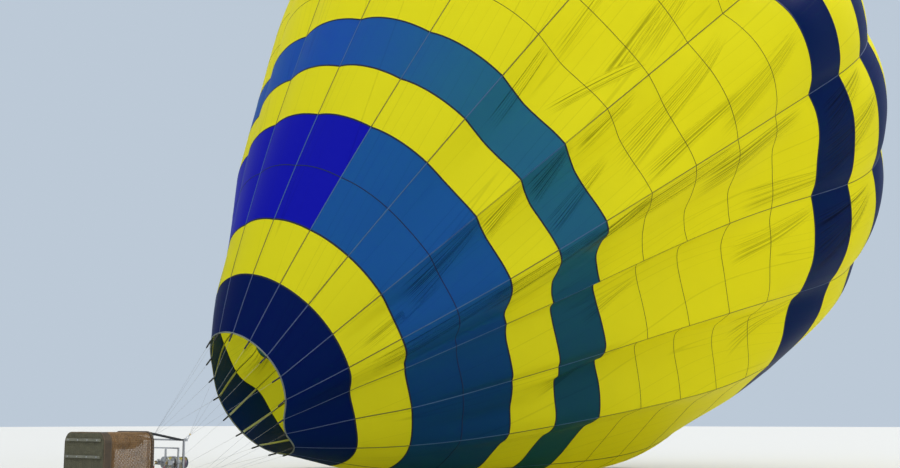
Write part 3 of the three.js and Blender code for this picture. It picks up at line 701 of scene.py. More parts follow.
def surface_material(name, colour, other, roughness, metallic=0.0, patches=3.0, grain=(60, 60, 60),
                     depth=0.0008, spread=0.12):
    """A surface whose colour wanders between two, with a grain that is stretched as the real
    one is and a roughness that follows it."""
    material, shader = node_material(name, colour, roughness, metallic)
    place = add_node(material, "ShaderNodeTexCoord").outputs["Object"]
    wander = noise(material, place, patches, 5.0, 0.6)
    fibres = noise(material, scaled(material, place, grain), 1.0, 4.0, 0.6)
    share = mapped(material, combined(material, "ADD", wander, fibres), (0.75, 1.25), (0, 1))
    link(material, mixed(material, share, (*colour, 1), (*other, 1)), shader.inputs["Base Color"])
    glosses = (max(roughness - spread, 0.05), min(roughness + spread, 1))
    link(material, mapped(material, fibres, (0.3, 0.7), glosses), shader.inputs["Roughness"])
    link(material, bumped(material, fibres, 0.6, depth), shader.inputs["Normal"])
    return material


def tape_material(name, colour, through):
    """Woven tape: cross ribs, a little grime, and some light from behind."""
    material = surface_material(name, colour, tuple(0.75 * c for c in colour), 0.7, 0, 1.2, (260, 260, 260))
    lit_through(material, material.node_tree.nodes["Principled BSDF"], (*through, 1), 0.4)
    return material


# Colours that heat leaves on thin steel: share of the way up a can, colour
HEAT_COLOURS = [
    (0.35, (1, 1, 1)), (0.62, (0.95, 0.78, 0.45)), (0.80, (0.62, 0.42, 0.55)), (1.0, (0.42, 0.52, 0.80)),
]


def heat_tinted(name):
    """Thin steel that the flame has coloured, from bare metal at the foot to straw and blue."""
    material = surface_material(
        name, (0.55, 0.54, 0.52), (0.42, 0.41, 0.40), 0.32, 1.0, 9.0, (12, 300, 300), 0.0002,
    )
    shader = material.node_tree.nodes["Principled BSDF"]
    place = add_node(material, "ShaderNodeTexCoord").outputs["Object"]
    along = add_node(material, "ShaderNodeSeparateXYZ", {0: place}).outputs["X"]
    foot = BASKET_ORIGIN[0] + BLOCK_TOP
    height = mapped(material, along, (foot, foot + CAN["lift"] + CAN["height"]), (0, 1))
    heat = add_node(material, "ShaderNodeValToRGB", {0: height})
    stops = heat.color_ramp.elements
    stops.remove(stops[1])
    stops[0].position = HEAT_COLOURS[0][0]
    for position, colour in HEAT_COLOURS[1:]:
        stops.new(position).color = (*colour, 1)
    stops[0].color = (*HEAT_COLOURS[0][1], 1)
    bare = shader.inputs["Base Color"].links[0].from_socket
    tint = mixed(material, 1, bare, heat.outputs["Color"], "MULTIPLY")
    link(material, tint, shader.inputs["Base Color"])
    return material


# Cloth: colour in the light, colour with light behind, share of light that comes through,
# sheen, and for some a colour of painted sky light round the top and how much painted shade darkens the
# underside
CLOTHS = {
    "yellow_cloth": ((0.90, 0.82, 0.020), (0.97, 0.91, 0.030), 0.45, (1.0, 1.0, 0.8)),
    "navy_cloth": ((0.001, 0.004, 0.095), (0.003, 0.050, 0.060), 0.30, (0.8, 0.8, 1.0)),
    "royal_cloth": ((0.006, 0.007, 0.44), (0.006, 0.010, 0.34), 0.25, (0.8, 0.8, 1.0)),
    "blue_cloth": ((0.012, 0.080, 0.42), (0.02, 0.22, 0.22), 0.40, (0.8, 0.9, 1.0), None, 0.50),
    "teal_cloth": (
        (0.020, 0.110, 0.28), (0.03, 0.30, 0.16), 0.35, (0.8, 0.95, 1.0), (0.010, 0.035, 0.50), 0.50,
    ),
}

# Tapes and seams: colour, colour with light behind
TAPES = {
    # One tape in copies: partly the cloth under it showing through, partly painted shade over the yellow glow
    # and painted light over navy, blue and inside the mouth
    "load_tape": ((0.24, 0.21, 0.045), (0.50, 0.46, 0.05)),
    "tape_on_navy": ((0.11, 0.16, 0.31), (0.16, 0.24, 0.34)),
    "tape_on_blue": ((0.10, 0.22, 0.42), (0.10, 0.26, 0.42)),
    "tape_inside": ((0.80, 0.82, 0.50), (0.85, 0.88, 0.45)),
    "seam_dark": ((0.020, 0.025, 0.05), (0.02, 0.03, 0.03)),
    "cloth_seam": ((0.11, 0.10, 0.012), (0.16, 0.14, 0.02)),
    "seam_on_blue": ((0.008, 0.025, 0.10), (0.01, 0.04, 0.10)),
    "hem_webbing": ((0.30, 0.33, 0.30), (0.45, 0.45, 0.20)),
}

# Other finishes: colour, other colour, roughness, metallic, size of patches, grain, depth
SURFACES = {
    "wicker": ((0.36, 0.20, 0.075), (0.16, 0.085, 0.032), 0.55, 0, 7.0, (70, 70, 70), 0.0012),
    "wicker_dark": ((0.17, 0.155, 0.085), (0.085, 0.08, 0.045), 0.7, 0, 6.0, (70, 70, 70), 0.0012),
    "plywood": ((0.40, 0.26, 0.13), (0.26, 0.16, 0.075), 0.45, 0, 2.0, (90, 3, 90), 0.0003),
    "runner_wood": ((0.22, 0.21, 0.15), (0.13, 0.125, 0.085), 0.75, 0, 4.0, (80, 4, 80), 0.0010),
    "hide": ((0.10, 0.065, 0.035), (0.055, 0.036, 0.02), 0.55, 0, 5.0, (220, 220, 220), 0.0008),
    "rim_leather": ((0.085, 0.05, 0.025), (0.045, 0.026, 0.014), 0.45, 0, 6.0, (240, 240, 240), 0.0007),
    "thong": ((0.42, 0.30, 0.16), (0.25, 0.17, 0.09), 0.6, 0, 9.0, (300, 300, 300), 0.0005),
    "cylinder_alloy": ((0.62, 0.63, 0.64), (0.50, 0.51, 0.52), 0.32, 1, 5.0, (8, 260, 260), 0.0001),
    "steel": ((0.60, 0.60, 0.60), (0.45, 0.45, 0.46), 0.28, 1, 12.0, (200, 200, 200), 0.0001),
    "frame_steel": ((0.58, 0.58, 0.59), (0.46, 0.46, 0.47), 0.30, 1, 6.0, (160, 20, 160), 0.00015),
    "brass": ((0.62, 0.46, 0.18), (0.48, 0.34, 0.13), 0.3, 1, 20.0, (300, 300, 300), 0.0001),
    "coil_steel": ((0.30, 0.27, 0.25), (0.18, 0.16, 0.16), 0.42, 1, 25.0, (300, 300, 300), 0.0002),
    "wire": ((0.42, 0.43, 0.44), (0.28, 0.29, 0.30), 0.4, 0, 20.0, (500, 500, 500), 0.0003),
    "rubber": ((0.012, 0.012, 0.013), (0.025, 0.025, 0.026), 0.6, 0, 10.0, (200, 200, 200), 0.0005),
    "strap": ((0.018, 0.018, 0.020), (0.035, 0.035, 0.038), 0.75, 0, 6.0, (420, 420, 420), 0.0005),
    "upright_cover": ((0.020, 0.021, 0.024), (0.038, 0.039, 0.042), 0.65, 0, 8.0, (380, 380, 380), 0.0005),
    "red_grip": ((0.45, 0.02, 0.015), (0.30, 0.015, 0.01), 0.4, 0, 10.0, (300, 300, 300), 0.0003),
    "dial_face": ((0.72, 0.72, 0.70), (0.60, 0.60, 0.58), 0.2, 0, 30.0, (300, 300, 300), 0.0),
}
MATERIALS = {"can_steel": heat_tinted("can_steel")}
for maker, table in ((cloth_material, CLOTHS), (tape_material, TAPES), (surface_material, SURFACES)):
    for finish_name, values in table.items():
        MATERIALS[finish_name] = maker(finish_name, *values)


def finish(obj, body, slot, material, *nodes):
    """Material, body and the nodes that a piece stands for; slot is not used."""
    obj.data.materials.clear()
    obj.data.materials.append(MATERIALS[material])
    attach(obj, body)
    if nodes:
        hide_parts(*nodes)
    return obj


# Camera: at eye height on level ground, to the near side of the basket
EYE_HEIGHT = 1.6
EYE_FROM_MOUTH = (-18.40, -22.71)
VIEW_HEADING = math.radians(48.1)
VIEW_PITCH = math.radians(8.81)
FOCAL_LENGTH = 48.3
SENSOR = 36.0


def make_camera():
    data = bpy.data.cameras.new("camera")
    data.sensor_width = SENSOR
    data.lens = FOCAL_LENGTH
    data.clip_end = 1000
    camera = bpy.data.objects.new("camera", data)
    bpy.context.scene.collection.objects.link(camera)
    camera.location = (
        MOUTH_CENTRE[0] + EYE_FROM_MOUTH[0], EYE_FROM_MOUTH[1], GROUND + EYE_HEIGHT,
    )
    forward = Vector((
        math.sin(VIEW_HEADING) * math.cos(VIEW_PITCH),
        math.cos(VIEW_HEADING) * math.cos(VIEW_PITCH),
        math.sin(VIEW_PITCH),
    ))
    camera.rotation_euler = forward.to_track_quat("-Z", "Y").to_euler()
    bpy.context.scene.camera = camera


# Stage: pale floor and surroundings, a warm key light high on the right, and a broad soft fill
FLOOR_HALF = 300
# Lights: name, strength, degrees across, colour, direction to the light
LIGHTS = [
    ("key", 3.6, 6, (1.0, 0.96, 0.88), (0.628, -0.115, 0.770)),
    ("fill", 1.5, 100, (1.0, 1.0, 1.0), (-0.35, -0.45, 0.82)),
]


def make_stage():
    corners = [(FLOOR_HALF * x, FLOOR_HALF * y, GROUND) for x, y in ((-1, -1), (1, -1), (1, 1), (-1, 1))]
    floor = mesh_object("floor", corners, [(0, 1, 2, 3)])
    material, _ = node_material("floor", (0.46, 0.46, 0.45), 0.9)
    floor.data.materials.append(material)

    world = bpy.data.worlds.new("studio")
    world.use_nodes = True
    background = world.node_tree.nodes["Background"]
    background.inputs["Color"].default_value = (0.74, 0.86, 1.0, 1)
    background.inputs["Strength"].default_value = 0.68
    bpy.context.scene.world = world
    bpy.context.scene.view_settings.view_transform = "Standard"

    for name, energy, degrees, colour, direction in LIGHTS:
        data = bpy.data.lights.new(name, "SUN")
        data.energy = energy
        data.angle = math.radians(degrees)
        data.color = colour
        light = bpy.data.objects.new(name, data)
        light.rotation_euler = (-Vector(direction)).to_track_quat("-Z", "Y").to_euler()
        bpy.context.scene.collection.objects.link(light)


# Envelope
def cloth_uvs(patch, first_line, last_line):
    """Metres across from each gore's own tape, with the gores set apart, and from the mouth."""
    columns = patch["columns"]
    j = np.arange(GORES_PER_SIDE * columns)
    left = (j % columns) / columns
    uvs = np.empty((last_line - first_line, len(j), 4, 2))
    for i in range(first_line, last_line):
        corners = ((left, i), (left + 1 / columns, i), (left + 1 / columns, i + 1), (left, i + 1))
        for corner, (share, line) in enumerate(corners):
            row = patch["rows"][line]
            uvs[i - first_line, :, corner, 0] = (j // columns) * 10 + share * gore_width(row)
            uvs[i - first_line, :, corner, 1] = row * ROW_LENGTH
    return uvs


# Painted sky light towards the top of the envelope and painted shade towards its underside, in gores from its
# uppermost place
TOP_GORE = -0.8
PAINTED_SKY_LIGHT_TO = 4.2
PAINTED_SHADE_FROM = 4.8
PAINTED_LIGHT_FADE = 3.2


def make_cloth():
    for node, slot, first_row, last_row, first_gore, last_gore in BANDS:
        first_line, last_line = first_row * LINES_PER_ROW, last_row * LINES_PER_ROW
        for side, patch in PATCHES.items():
            if not first_gore <= patch["gores"][0] < last_gore:
                continue
            points = patch["points"][first_line:last_line + 1]
            faces = grid_faces(*points.shape[:2])
            uvs = cloth_uvs(patch, first_line, last_line)
            piece = mesh_object(f"{node}_{side}", points, faces, uvs)
            for slot_number, field in enumerate(patch["creases"]):
                layer = piece.data.attributes.new(f"creases_{slot_number}", "FLOAT_VECTOR", "POINT")
                layer.data.foreach_set("vector", field[first_line:last_line + 1].astype(np.float32).ravel())
            # Painted light: shares of painted sky light (upper) and painted shade (lower) for each line of
            # gores
            from_top = np.abs((patch["gores"] - TOP_GORE + GORES / 2) % GORES - GORES / 2)
            upper = ramp(PAINTED_SKY_LIGHT_TO - from_top, PAINTED_LIGHT_FADE)
            lower = ramp(from_top - PAINTED_SHADE_FROM, PAINTED_LIGHT_FADE)
            for name, share in (("upper", upper), ("lower", lower)):
                values = np.broadcast_to(share, points.shape[:2]).astype(np.float32)
                layer = piece.data.attributes.new(name, "FLOAT", "POINT")
                layer.data.foreach_set("value", values.ravel())
            finish(piece, "balloon", slot, slot, node)


TAPE = {"width": 0.026, "lift": 0.005}
INNER_TAPE = {"width": 0.060, "lift": 0.003, "middle": -0.008}
# The tapes are thin enough to take on some of the colour of the cloth under them; the rest of each copy's
# colour is painted light and shade
TAPE_SPANS = {
    "load_tapes_on_yellow": ("load_tape", [(1, 2), (4, 5), (6, 11), (12, 13), (14, HOLE_ROW)]),
    "load_tapes_on_navy": ("tape_on_navy", [(0, 1), (11, 12), (13, 14)]),
    "load_tapes_on_blue": ("tape_on_blue", [(2, 4), (5, 6)]),
}
# Rows where two bands of one colour meet, and where a seam lies inside the blue
ONE_COLOUR_ROWS = {8, 17}
BLUE_SEAM_ROWS = {3}
EDGE_WIDTH = 0.042
SEAM_WIDTH = 0.016
SEAM_LIFT = 0.003


def tape_section(gore, rows, width, lift, middle=0.0):
    half = width / 2 / gore_width(rows)
    outer, inner = middle + lift, middle - lift
    lines = [(-half, outer), (half, outer), (half, inner), (-half, inner)]
    return np.stack([on_cloth(rows, gore + offset, height) for offset, height in lines])


def ring_section(row, gores, width, lift):
    half = width / 2 / ROW_LENGTH
    low, high = max(row - half, 0), min(row + half, HOLE_ROW)
    lines = [(low, -lift), (low, lift), (high, lift), (high, -lift)]
    return np.stack([on_cloth(place, gores, height) for place, height in lines])


def make_tapes():
    for name, (material, spans) in TAPE_SPANS.items():
        tapes = []
        for first_row, last_row in spans:
            rows = np.linspace(first_row, last_row, (last_row - first_row) * LINES_PER_ROW + 1)
            for gore in range(GORES):
                tapes.append(strip_form(tape_section(gore, rows, **TAPE)))
        build(name, tapes, "balloon", "load_tape", material)

    rows = np.linspace(0.03, 1, LINES_PER_ROW)
    inside = [strip_form(tape_section(gore, rows, **INNER_TAPE)) for gore in range(GORES)]
    build("load_tapes_inside", inside, "balloon", "load_tape", "tape_inside")

    # Edges between colours are bound in dark tape, and seams inside a colour are thinner
    gores = np.concatenate([patch["gores"][:-1] for patch in PATCHES.values()])
    edges = {band[2] for band in BANDS} - {0} - ONE_COLOUR_ROWS
    seams = set(range(1, HOLE_ROW)) - edges
    for name, wanted, width, material in (
        ("colour_edges", edges, EDGE_WIDTH, "seam_dark"),
        ("cloth_seams", seams - BLUE_SEAM_ROWS, SEAM_WIDTH, "cloth_seam"),
        ("blue_seam", BLUE_SEAM_ROWS, 1.5 * SEAM_WIDTH, "seam_on_blue"),
        ("crown_edge", {HOLE_ROW}, 2 * EDGE_WIDTH, "load_tape"),
    ):
        rings = [
            strip_form(ring_section(row, gores, width, SEAM_LIFT), closed=True) for row in sorted(wanted)
        ]
        build(name, rings, "balloon", "load_tape", material)


# Hem at the mouth, as the frame has it
SHELL = 0.010
HEM_RADIUS = 0.015
HEM_GAP = 0.0034
HEM_DROP = HEM_RADIUS + HEM_GAP + SHELL / 2 * math.sin(math.radians(SLOPES[0][1]))
HEM_BINDING = {"width": 0.036, "thickness": 0.014, "overhang": 0.25}


def hem_point(gore, further=0.0):
    return cloth(0, gore, -SHELL / 2) - AXIS * (HEM_DROP + further)


def make_hem():
    gores = np.arange(0, GORES, 1 / 24)
    path = hem_point(gores)
    inward = unit(cloth(0.02, gores) - cloth(0, gores))
    half = np.array([HEM_BINDING["thickness"], HEM_BINDING["width"]]) / 2
    path = path + inward * (HEM_DROP - HEM_BINDING["overhang"] * HEM_BINDING["width"])
    binding = sweep_form(path, superellipse(*half, 12, 3.0), True, up=inward)
    build("mouth_hem_binding", [binding], "balloon", "hem_webbing", "hem_webbing", "mouth_hem")


# Crown: ring on its tapes, and the parachute valve
CROWN_RING = {"radius": 0.190, "bar": 0.014, "lift": 0.330}
CROWN_TAPE = {
    "width": 0.030, "thickness": 0.004, "lift": 0.013, "start": 0.25, "start_lift": 0.008, "bow": 0.004,
}
VALVE = {"overlap": 0.260, "pressed": 0.0022, "turns": 12, "rings": 40}
# Share of the valve's radius, rise
VALVE_OUTLINE = [(0, 0.260), (0.6, 0.225), (0.85, 0.160), (1, 0)]
# Its panels swell between their seams: the more the farther out, up to the share "full" of the
# radius, and the less over the stretch "fade" that ends at the share "end"
VALVE_SWELL = {"height": 0.05, "full": 0.7, "end": 0.80, "fade": 0.25}
VALVE_SEAM = {"half_width": 0.011, "lift": 0.003}
HOLE = {
    "station": float(along_meridian(STATIONS, HOLE_ROW)),
    "radius": float(along_meridian(RADII, HOLE_ROW)),
}


def make_crown():
    centre = MOUTH_CENTRE + AXIS * (HOLE["station"] + CROWN_RING["lift"])
    turn = circle_angles(72)
    radius = CROWN_RING["radius"]
    ring = centre + radius * (np.cos(turn)[:, None] * UPPER_SIDE + np.sin(turn)[:, None] * NEAR_SIDE)
    form = tube_form(ring, CROWN_RING["bar"], 14, closed=True, up=AXIS)
    build("crown_ring_polished", [form], "balloon", "steel", "steel", "crown_ring")
    section = superellipse(CROWN_TAPE["width"] / 2, CROWN_TAPE["thickness"] / 2, 8, 4)
    tapes = []
    for gore in range(GORES):
        edge = cloth(HOLE_ROW, gore, CROWN_TAPE["lift"])
        inward = edge - centre
        inward -= AXIS * (inward @ AXIS)
        hub = centre + unit(inward) * (radius - CROWN_RING["bar"])
        path = [cloth(HOLE_ROW - CROWN_TAPE["start"], gore, CROWN_TAPE["start_lift"])]
        for t in np.linspace(0, 1, 16):
            path.append(edge + t * (hub - edge) - AXIS * CROWN_TAPE["bow"] * math.sin(math.pi * t))
        tapes.append(sweep_form(path, section, up=AXIS))
    build("crown_tapes", tapes, "balloon", "load_tape", "load_tape", "crown_ring")


def valve_points(turns, share, lift=0.0):
    """Points of the valve's cloth at an angle in gores and a share of its radius."""
    radius = HOLE["radius"] + VALVE["overlap"]
    knee_share, knee_rise = VALVE_OUTLINE[2]
    seat_radius = HOLE["radius"] * (1 - TALLNESS)
    seat_rise = knee_rise * (1 - seat_radius / radius) / (1 - knee_share)
    middle = HOLE["station"] - SHELL - seat_rise + VALVE["pressed"]
    rise = curve_through(VALVE_OUTLINE, share)
    across = turns - np.floor(turns)
    swell = VALVE_SWELL["height"] * 4 * across * (1 - across) * np.clip(share / VALVE_SWELL["full"], 0, 1)
    swell = swell * np.clip((VALVE_SWELL["end"] - share) / VALVE_SWELL["fade"], 0, 1)
    angle = np.radians(FIRST_TAPE_ANGLE + turns * 360 / GORES)
    return (
        MOUTH_CENTRE
        + (middle + rise + swell + lift)[..., None] * AXIS
        + (share * radius * np.cos(angle))[..., None] * UPPER_SIDE
        + (share * radius * np.sin(angle))[..., None] * NEAR_SIDE
    )


def make_valve():
    turns = np.arange(0, GORES, 1 / VALVE["turns"])
    share = np.linspace(0.004, 1, VALVE["rings"])
    points = valve_points(*np.broadcast_arrays(turns[None, :], share[:, None]))
    faces = grid_faces(len(share), len(turns), closed_columns=True)[:, ::-1]
    flat = np.stack([points @ UPPER_SIDE, points @ NEAR_SIDE], axis=-1).reshape(-1, 2)
    piece = mesh_object("valve_cloth", points, faces, flat[faces])
    finish(piece, "valve", "yellow_cloth", "yellow_cloth", "parachute_valve")
    width = 2 * (HOLE["radius"] + VALVE["overlap"])
    places = np.linspace(0.04, 0.99, VALVE["rings"])
    half = VALVE_SEAM["half_width"] / (places * width / 2) * GORES / (2 * math.pi)
    lift = VALVE_SEAM["lift"]
    lines = [(-half, lift), (half, lift), (half, -lift), (-half, -lift)]
    seams = [
        strip_form(np.stack([valve_points(gore + offset, places, height) for offset, height in lines]))
        for gore in range(GORES)
    ]
    build("valve_seams", seams, "valve", "load_tape", "load_tape")


# Basket
def from_basket(points):
    """World places of points in the basket's frame: it lies on its long side."""
    points = np.asarray(points, float)
    return BASKET_ORIGIN + np.stack([points[..., 2], points[..., 1], -points[..., 0]], axis=-1)


def to_basket(points):
    points = np.asarray(points, float) - BASKET_ORIGIN
    return np.stack([-points[..., 2], points[..., 1], points[..., 0]], axis=-1)


def basket_piece(name, forms, body, slot, material, *nodes, **options):
    points, faces = joined(forms)
    return build(name, [(from_basket(points), faces)], body, slot, material, *nodes, **options)


def basket_outline(grow, count):
    """Points evenly round the basket's outline, this far outside it, with outward directions."""
    corner = BASKET["corner"] + grow
    x, y = BASKET["width"] / 2 + grow - corner, BASKET["length"] / 2 + grow - corner
    quarter = math.pi / 2 * corner
    starts = np.concatenate([[0], np.cumsum([2 * x, quarter, 2 * y, quarter] * 2)])
    centres = np.array([(x, -y), (x, y), (-x, y), (-x, -y)])
    headings = [(1, 0), (0, 1), (-1, 0), (0, -1)]
    points, outward = [], []
    for place in np.arange(count) / count * starts[-1]:
        k = int(np.searchsorted(starts, place, side="right")) - 1
        side, along = k // 2, place - starts[k]
        if k % 2 == 0:
            heading = np.array(headings[side])
            normal = np.array([heading[1], -heading[0]])
            points.append(centres[side - 1] + corner * normal + along * heading)
        else:
            turn = (side - 1) * math.pi / 2 + along / corner
            normal = np.array([math.cos(turn), math.sin(turn)])
            points.append(centres[side] + corner * normal)
        outward.append(normal)
    return np.array(points), np.array(outward)


def around(grow, height, count):
    outline, outward = basket_outline(grow, count)
    return (
        np.column_stack([outline, np.full(count, height)]),
        np.column_stack([outward, np.zeros(count)]),
    )


WICKER = {
    "stakes": 120, "stake": 0.0065, "row": 0.0160, "strand": (0.0060, 0.0078), "sway": 0.0085,
    "wobble": 0.0012,
}


def make_wicker():
    stakes = WICKER["stakes"]
    middle = -BASKET["wall"] / 2
    low = FLOOR_THICKNESS + SEAT_GAP
    forms = []
    path, outward = around(middle, 0, 2 * stakes)
    for stake in path[::2]:
        line = stake + np.outer([low, BASKET["height"]], [0, 0, 1])
        forms.append(tube_form(line, WICKER["stake"], 6, up=(1, 0, 0)))
    section = superellipse(*WICKER["strand"], 4, 2)
    rows = int((BASKET["height"] - low) / WICKER["row"])
    places = np.arange(2 * stakes)
    for row in range(rows):
        sway = WICKER["sway"] * np.where(places % 2, 0, 1) * np.where((places // 2 + row) % 2, 1, -1)
        height = low + (row + 0.5) * (BASKET["height"] - low) / rows
        wobble = WICKER["wobble"] * np.sin(places * 0.37 + row * 1.7)
        points = path + outward * sway[:, None] + np.outer(wobble + height, [0, 0, 1])
        forms.append(sweep_form(points, section, closed=True))
    basket_piece("wicker_walls", forms, "balloon", "wicker", "wicker", "basket_walls")


FLOOR_WEAVE = {
    "rib": 0.070, "rib_radius": 0.0052, "strand": 0.0135, "strand_section": (0.0062, 0.0048),
    "height": 0.0052, "sway": 0.0022, "edge": 0.012,
}
RIB_PLACES = np.arange(-9.5, 10) * FLOOR_WEAVE["rib"]


def half_reach(place, across, along):
    """Half of the basket's side along, inside the edge, at this place across it."""
    corner = BASKET["corner"]
    past = max(abs(place) - (BASKET[across] / 2 - corner), 0)
    return BASKET[along] / 2 - corner + math.sqrt(max(corner**2 - past**2, 0)) - FLOOR_WEAVE["edge"]


def make_floor():
    outline, _ = around(0, 0, 96)
    low, high = 2 * FLOOR_WEAVE["height"], FLOOR_THICKNESS
    count = len(outline)
    points = np.concatenate([outline + [0, 0, low], outline + [0, 0, high]])
    faces = [list(range(count))[::-1], list(range(count, 2 * count))]
    for k in range(count):
        following = (k + 1) % count
        faces.append([k, following, count + following, count + k])
    board = [(points, faces)]
    basket_piece("floor_board", board, "balloon", "plywood", "plywood", "basket_floor", bevel=0.002)


def make_floor_weave():
    height, rib = FLOOR_WEAVE["height"], FLOOR_WEAVE["rib"]
    forms = []
    for y in RIB_PLACES:
        reach = half_reach(y, "length", "width")
        forms.append(tube_form([(-reach, y, height), (reach, y, height)], FLOOR_WEAVE["rib_radius"], 8))
    section = superellipse(*FLOOR_WEAVE["strand_section"], 6, 2)
    half_width = BASKET["width"] / 2 - FLOOR_WEAVE["edge"]
    strands = int(2 * half_width / FLOOR_WEAVE["strand"])
    for k in range(strands):
        x = -half_width + (k + 0.5) * 2 * half_width / strands
        reach = half_reach(x, "width", "length")
        y = np.concatenate([[-reach], np.arange(-20, 21) * rib / 2, [reach]])
        y = y[np.abs(y) <= reach]
        over = np.cos(math.pi * (y / rib - 0.5)) * (1 if k % 2 else -1)
        line = np.column_stack([np.full(len(y), x), y, height + FLOOR_WEAVE["sway"] * over])
        forms.append(sweep_form(line, section))
    basket_piece("floor_weave", forms, "balloon", "wicker", "wicker_dark")


BOLT_PROFILE = [(0, 0), (0.017, 0), (0.016, 0.003), (0.009, 0.006), (0, 0.0065)]
BOLT_PLACES = (-0.55, -0.18, 0.18, 0.55)


def make_runners():
    length = BASKET["length"] - 2 * RUNNER["inset"]
    for index, x in enumerate(RUNNER["places"], 1):
        middle = -SEAT_GAP - RUNNER["height"] / 2
        board = block_form((RUNNER["width"], length, RUNNER["height"]), (x, 0, middle))
        basket_piece(
            f"runner_{index}", [board], "balloon", "plywood", "runner_wood", f"basket_runner_{index}",
            bevel=0.007, bevel_segments=3,
        )
    bolts = [
        lathe_form(BOLT_PROFILE, 20, ((x, y, -SEAT_GAP - RUNNER["height"]), (0, 0, -1)))
        for x in RUNNER["places"] for y in BOLT_PLACES
    ]
    basket_piece("runner_bolts", bolts, "balloon", "steel", "steel")


STITCHES = {"number": 210, "steps": 6, "radius": 0.0022, "heights": (HIDE["height"] - 0.014, 0.016)}


def make_hide_band():
    path, _ = around(HIDE["thickness"] / 2 + SEAT_GAP, HIDE["height"] / 2, 320)
    section = superellipse(HIDE["thickness"] / 2, HIDE["height"] / 2, 24, 12)
    hide = sweep_form(path, section, closed=True)
    basket_piece("hide_band", [hide], "balloon", "hide", "hide", "basket_hide_band")
    forms = []
    count, radius = STITCHES["number"] * STITCHES["steps"], STITCHES["radius"]
    sway = radius * np.sin(circle_angles(count) * STITCHES["number"])
    for height in STITCHES["heights"]:
        path, outward = around(HIDE["thickness"] + SEAT_GAP, height, count)
        forms.append(tube_form(path + outward * sway[:, None], radius, 5, closed=True))
    basket_piece("hide_stitches", forms, "balloon", "hide", "thong")


RIM_ROUNDNESS = 2.5
ROLL_INSET = 0.0015
RIM_LACING = {"pitch": 0.062, "thong": 0.0030, "steps": 14, "sunk": 0.0016, "pull": 0.035}


def make_rim():
    """The leather roll, drawn in where the thong passes over it, and the thong."""
    count = 640
    centre_height = BASKET["height"] + SEAT_GAP + RIM["height"] / 2
    path, _ = around(-BASKET["wall"] / 2, centre_height, count)
    length = np.linalg.norm(np.roll(path, -1, axis=0) - path, axis=1).sum()
    turns = round(length / RIM_LACING["pitch"])
    scale = 1 - RIM_LACING["pull"] * np.cos(circle_angles(count) * turns) ** 2
    half = np.array([RIM["width"] / 2 - ROLL_INSET, RIM["height"] / 2])
    roll = sweep_form(path, superellipse(*half, 20, RIM_ROUNDNESS), closed=True, scale=scale)
    piece = basket_piece("rim_roll", [roll], "balloon", "hide", "rim_leather", "basket_rim")

    steps = RIM_LACING["steps"]
    path, outward = around(-BASKET["wall"] / 2, centre_height, turns * steps)
    turn = np.arange(turns * steps) / steps * 2 * math.pi
    circle = np.array([np.cos(turn), np.sin(turn)])
    on_roll = (np.abs(circle) ** RIM_ROUNDNESS).sum(axis=0) ** (-1 / RIM_ROUNDNESS)
    side, up = (half - RIM_LACING["sunk"])[:, None] * circle * on_roll
    thong = path + outward * side[:, None] + np.outer(up, [0, 0, 1])
    form = tube_form(thong, RIM_LACING["thong"], 6, closed=True, up=(0.3, 0.5, 0.81))
    basket_piece("rim_lacing", [form], "balloon", "hide", "thong")


# Fuel cylinders
def pierced_wall(radius, thickness, heights, sides, hole_rows, hole_every, hole_width):
    """Form of a round wall with a row of openings cut through it."""
    inner = radius - thickness
    turn = circle_angles(sides)
    levels = len(heights)
    circle = np.stack([np.cos(turn), np.sin(turn)], axis=1)
    points = np.concatenate([
        np.column_stack([circle * r, np.full(sides, z)]) for r in (radius, inner) for z in heights
    ])
    is_open = lambda i, j: i in hole_rows and (j % hole_every) < hole_width
    faces = []
    for i in range(levels - 1):
        for j in range(sides):
            if is_open(i, j):
                continue
            # Corners of this cell, outside and inside, anticlockwise from outside
            a, b, c, d = (k * sides + m % sides for k, m in ((i, j), (i, j + 1), (i + 1, j + 1), (i + 1, j)))
            e, f, g, h = (corner + levels * sides for corner in (a, b, c, d))
            faces += [[a, b, c, d], [e, h, g, f]]
            if i == 0 or is_open(i - 1, j):
                faces.append([a, e, f, b])
            if i == levels - 2 or is_open(i + 1, j):
                faces.append([d, c, g, h])
            if is_open(i, j - 1):
                faces.append([a, d, h, e])
            if is_open(i, j + 1):
                faces.append([b, f, g, c])
    return points, faces


def moved(form, offset, turn=0.0):
    points, faces = form
    cos, sin = math.cos(turn), math.sin(turn)
    turned = points @ np.array([[cos, sin, 0], [-sin, cos, 0], [0, 0, 1]])
    return turned + np.asarray(offset, float), faces


def arc_profile(centre, radius, start, end, count):
    turn = np.radians(np.linspace(start, end, count))
    return [(centre[0] + radius * math.cos(t), centre[1] + radius * math.sin(t)) for t in turn]


def cylinder_body():
    radius, height = CYLINDER["radius"], CYLINDER["height"]
    middle = height / 2
    profile = [(0, 0.012), (0.080, 0.004)]
    profile += [(0.118, 0.000)] + arc_profile((radius - 0.03, 0.03), 0.03, -80, 0, 8)
    profile += [(radius, middle - 0.008)]
    profile += arc_profile((radius - 0.002, middle), 0.0045, -60, 60, 6)
    profile += [(radius, middle + 0.008), (radius, height - 0.115)]
    dome = np.radians(np.linspace(4, 84, 12))
    profile += [(radius * math.cos(t), height - 0.115 + 0.105 * math.sin(t)) for t in dome]
    profile += [(0, height - 0.010)]
    return lathe_form(profile, 56)


STRAP = {"width": 0.040, "thickness": 0.003, "heights": (0.26, 0.62), "buckle": (0.007, 0.050, 0.050)}


